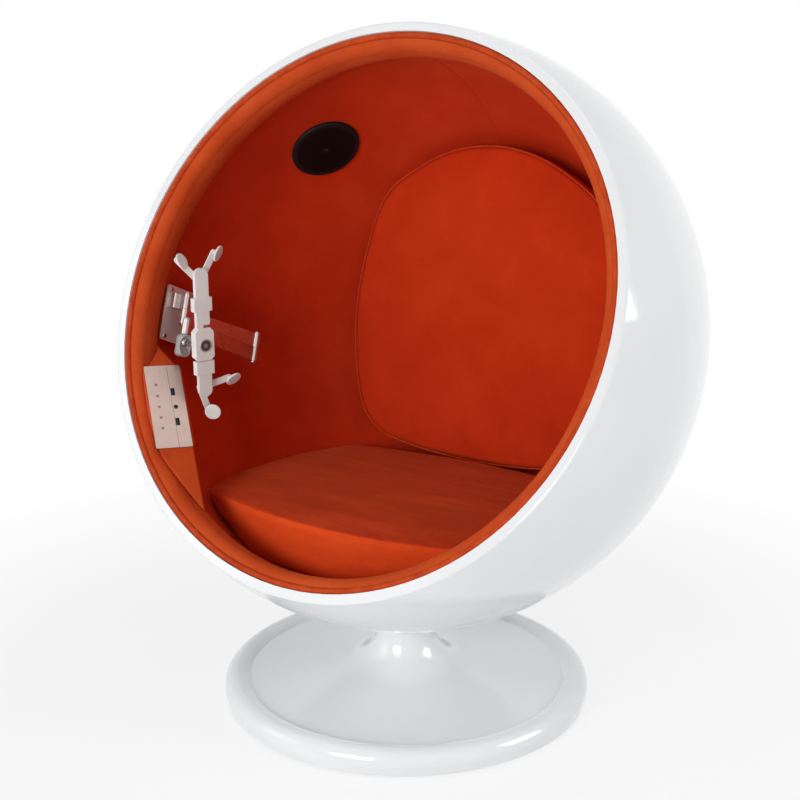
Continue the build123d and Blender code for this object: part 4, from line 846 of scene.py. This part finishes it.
def covered(name, node, voxel, rounds, material, slot, fill):
    """Copy of a node's form, with its edges rounded as cloth over foam."""
    mesh = nodes[node].data.copy()
    mesh.name = name
    one_coat(mesh, material)
    piece = linked(name, mesh)
    modified(piece, "REMESH", mode="VOXEL", voxel_size=voxel, use_smooth_shade=True)
    modified(piece, "SMOOTH", factor=0.5, iterations=rounds)
    settle(piece)
    soft(piece, "ball", slot, fill, node)


covered("seat_base", "seat_block", 0.006, 6, LINING, "lining_red", 1.0)
covered("back_base", "back_block", 0.006, 6, LINING, "lining_red", 1.0)
covered("panel_pad", "panel_pod", 0.0022, 5, ROLL, "roll_orange", 0.9)
covered("wall_pad", "wall_block", 0.0018, 3, ROLL, "roll_orange", 1.0)

# Floor, light and camera

SKY_LEVEL = 0.33
FLOOR_HALF = 6


def seen_directly(tree):
    """1 for rays from the camera and for what gloss and glass show, else 0."""
    path = add(tree, "ShaderNodeLightPath")
    first = add(tree, "ShaderNodeMath", operation="MAXIMUM")
    both = add(tree, "ShaderNodeMath", operation="MAXIMUM")
    tree.links.new(path.outputs["Is Camera Ray"], first.inputs[0])
    tree.links.new(path.outputs["Is Glossy Ray"], first.inputs[1])
    tree.links.new(first.outputs[0], both.inputs[0])
    tree.links.new(path.outputs["Is Transmission Ray"], both.inputs[1])
    return both.outputs[0]


def area_light(name, place, target, size, power):
    lamp = bpy.data.lights.new(name, "AREA")
    lamp.shape = "RECTANGLE"
    lamp.size = size[0]
    lamp.size_y = size[1]
    lamp.energy = power
    obj = linked(name, lamp)
    obj.location = place
    obj.rotation_euler = (Vector(target) - Vector(place)).to_track_quat("-Z", "Y").to_euler()


floor_mesh = bpy.data.meshes.new("floor")
floor_corners = [(FLOOR_HALF * x, FLOOR_HALF * y, 0) for x, y in ((-1, -1), (1, -1), (1, 1), (-1, 1))]
floor_mesh.from_pydata(floor_corners, [], [(0, 1, 2, 3)])
floor = linked("floor", floor_mesh)
floor_material, floor_tree, floor_shader = new_material("floor_pale")
floor_shader.inputs["Base Color"].default_value = (0.90, 0.90, 0.90, 1.0)
floor_shader.inputs["Roughness"].default_value = 0.6
floor_shader.inputs["Specular IOR Level"].default_value = 0.1
floor_mesh.materials.append(floor_material)

# White paper that the floor fades to, away from the chair
paper = add(floor_tree, "ShaderNodeEmission")
paper.inputs["Color"].default_value = (1.0, 1.0, 1.0, 1.0)
fade = add(floor_tree, "ShaderNodeTexGradient", gradient_type="SPHERICAL")
floor_tree.links.new(coords(floor_tree, (0.70, 0.70, 0.70)), fade.inputs["Vector"])
amount = greys(floor_tree, fade.outputs["Fac"], (0.0, 1.0), (0.50, 0.76))
only_seen = add(floor_tree, "ShaderNodeMath", operation="MULTIPLY")
floor_tree.links.new(amount, only_seen.inputs[0])
floor_tree.links.new(seen_directly(floor_tree), only_seen.inputs[1])
mixed = add(floor_tree, "ShaderNodeMixShader")
floor_tree.links.new(only_seen.outputs[0], mixed.inputs["Fac"])
floor_tree.links.new(floor_shader.outputs["BSDF"], mixed.inputs[1])
floor_tree.links.new(paper.outputs["Emission"], mixed.inputs[2])
floor_tree.links.new(mixed.outputs["Shader"], floor_tree.nodes["Material Output"].inputs["Surface"])

world = bpy.data.worlds.new("studio")
world.use_nodes = True
world_tree = world.node_tree
sky = world_tree.nodes["Background"]
sky.inputs["Color"].default_value = (1.0, 1.0, 1.0, 1.0)
level = add(world_tree, "ShaderNodeMapRange")
level.inputs["To Min"].default_value = SKY_LEVEL
level.inputs["To Max"].default_value = 1.0
world_tree.links.new(seen_directly(world_tree), level.inputs["Value"])
world_tree.links.new(level.outputs["Result"], sky.inputs["Strength"])
scene.world = world

area_light("key", (0.1, -3.6, 1.35), (0.0, 0.0, 0.70), (1.5, 1.2), 62.0)
area_light("fill", (-2.6, -2.4, 1.3), (0.0, 0.0, 0.7), (1.6, 2.0), 12.0)
area_light("side", (3.2, 0.9, 1.7), (0.0, 0.0, 0.6), (1.6, 1.6), 38.0)
area_light("top", (0.3, 0.2, 3.4), (0.0, 0.0, 0.7), (2.4, 2.4), 16.0)

CAMERA_PLACE = (1.29877, -2.02601, 1.21440)
CAMERA_RIGHT = Vector((0.84039661, 0.54195587, -0.00416938))
CAMERA_ABOVE = Vector((-0.13925047, 0.22335396, 0.96473951))
CAMERA_BEHIND = Vector((0.52377748, -0.81018322, 0.26317351))
camera_data = bpy.data.cameras.new("camera")
camera_data.sensor_width = 36.0
camera_data.lens = 63.0
camera = linked("camera", camera_data)
camera_turn = Matrix((CAMERA_RIGHT, CAMERA_ABOVE, CAMERA_BEHIND)).transposed().to_4x4()
camera.matrix_world = Matrix.Translation(CAMERA_PLACE) @ camera_turn
scene.camera = camera
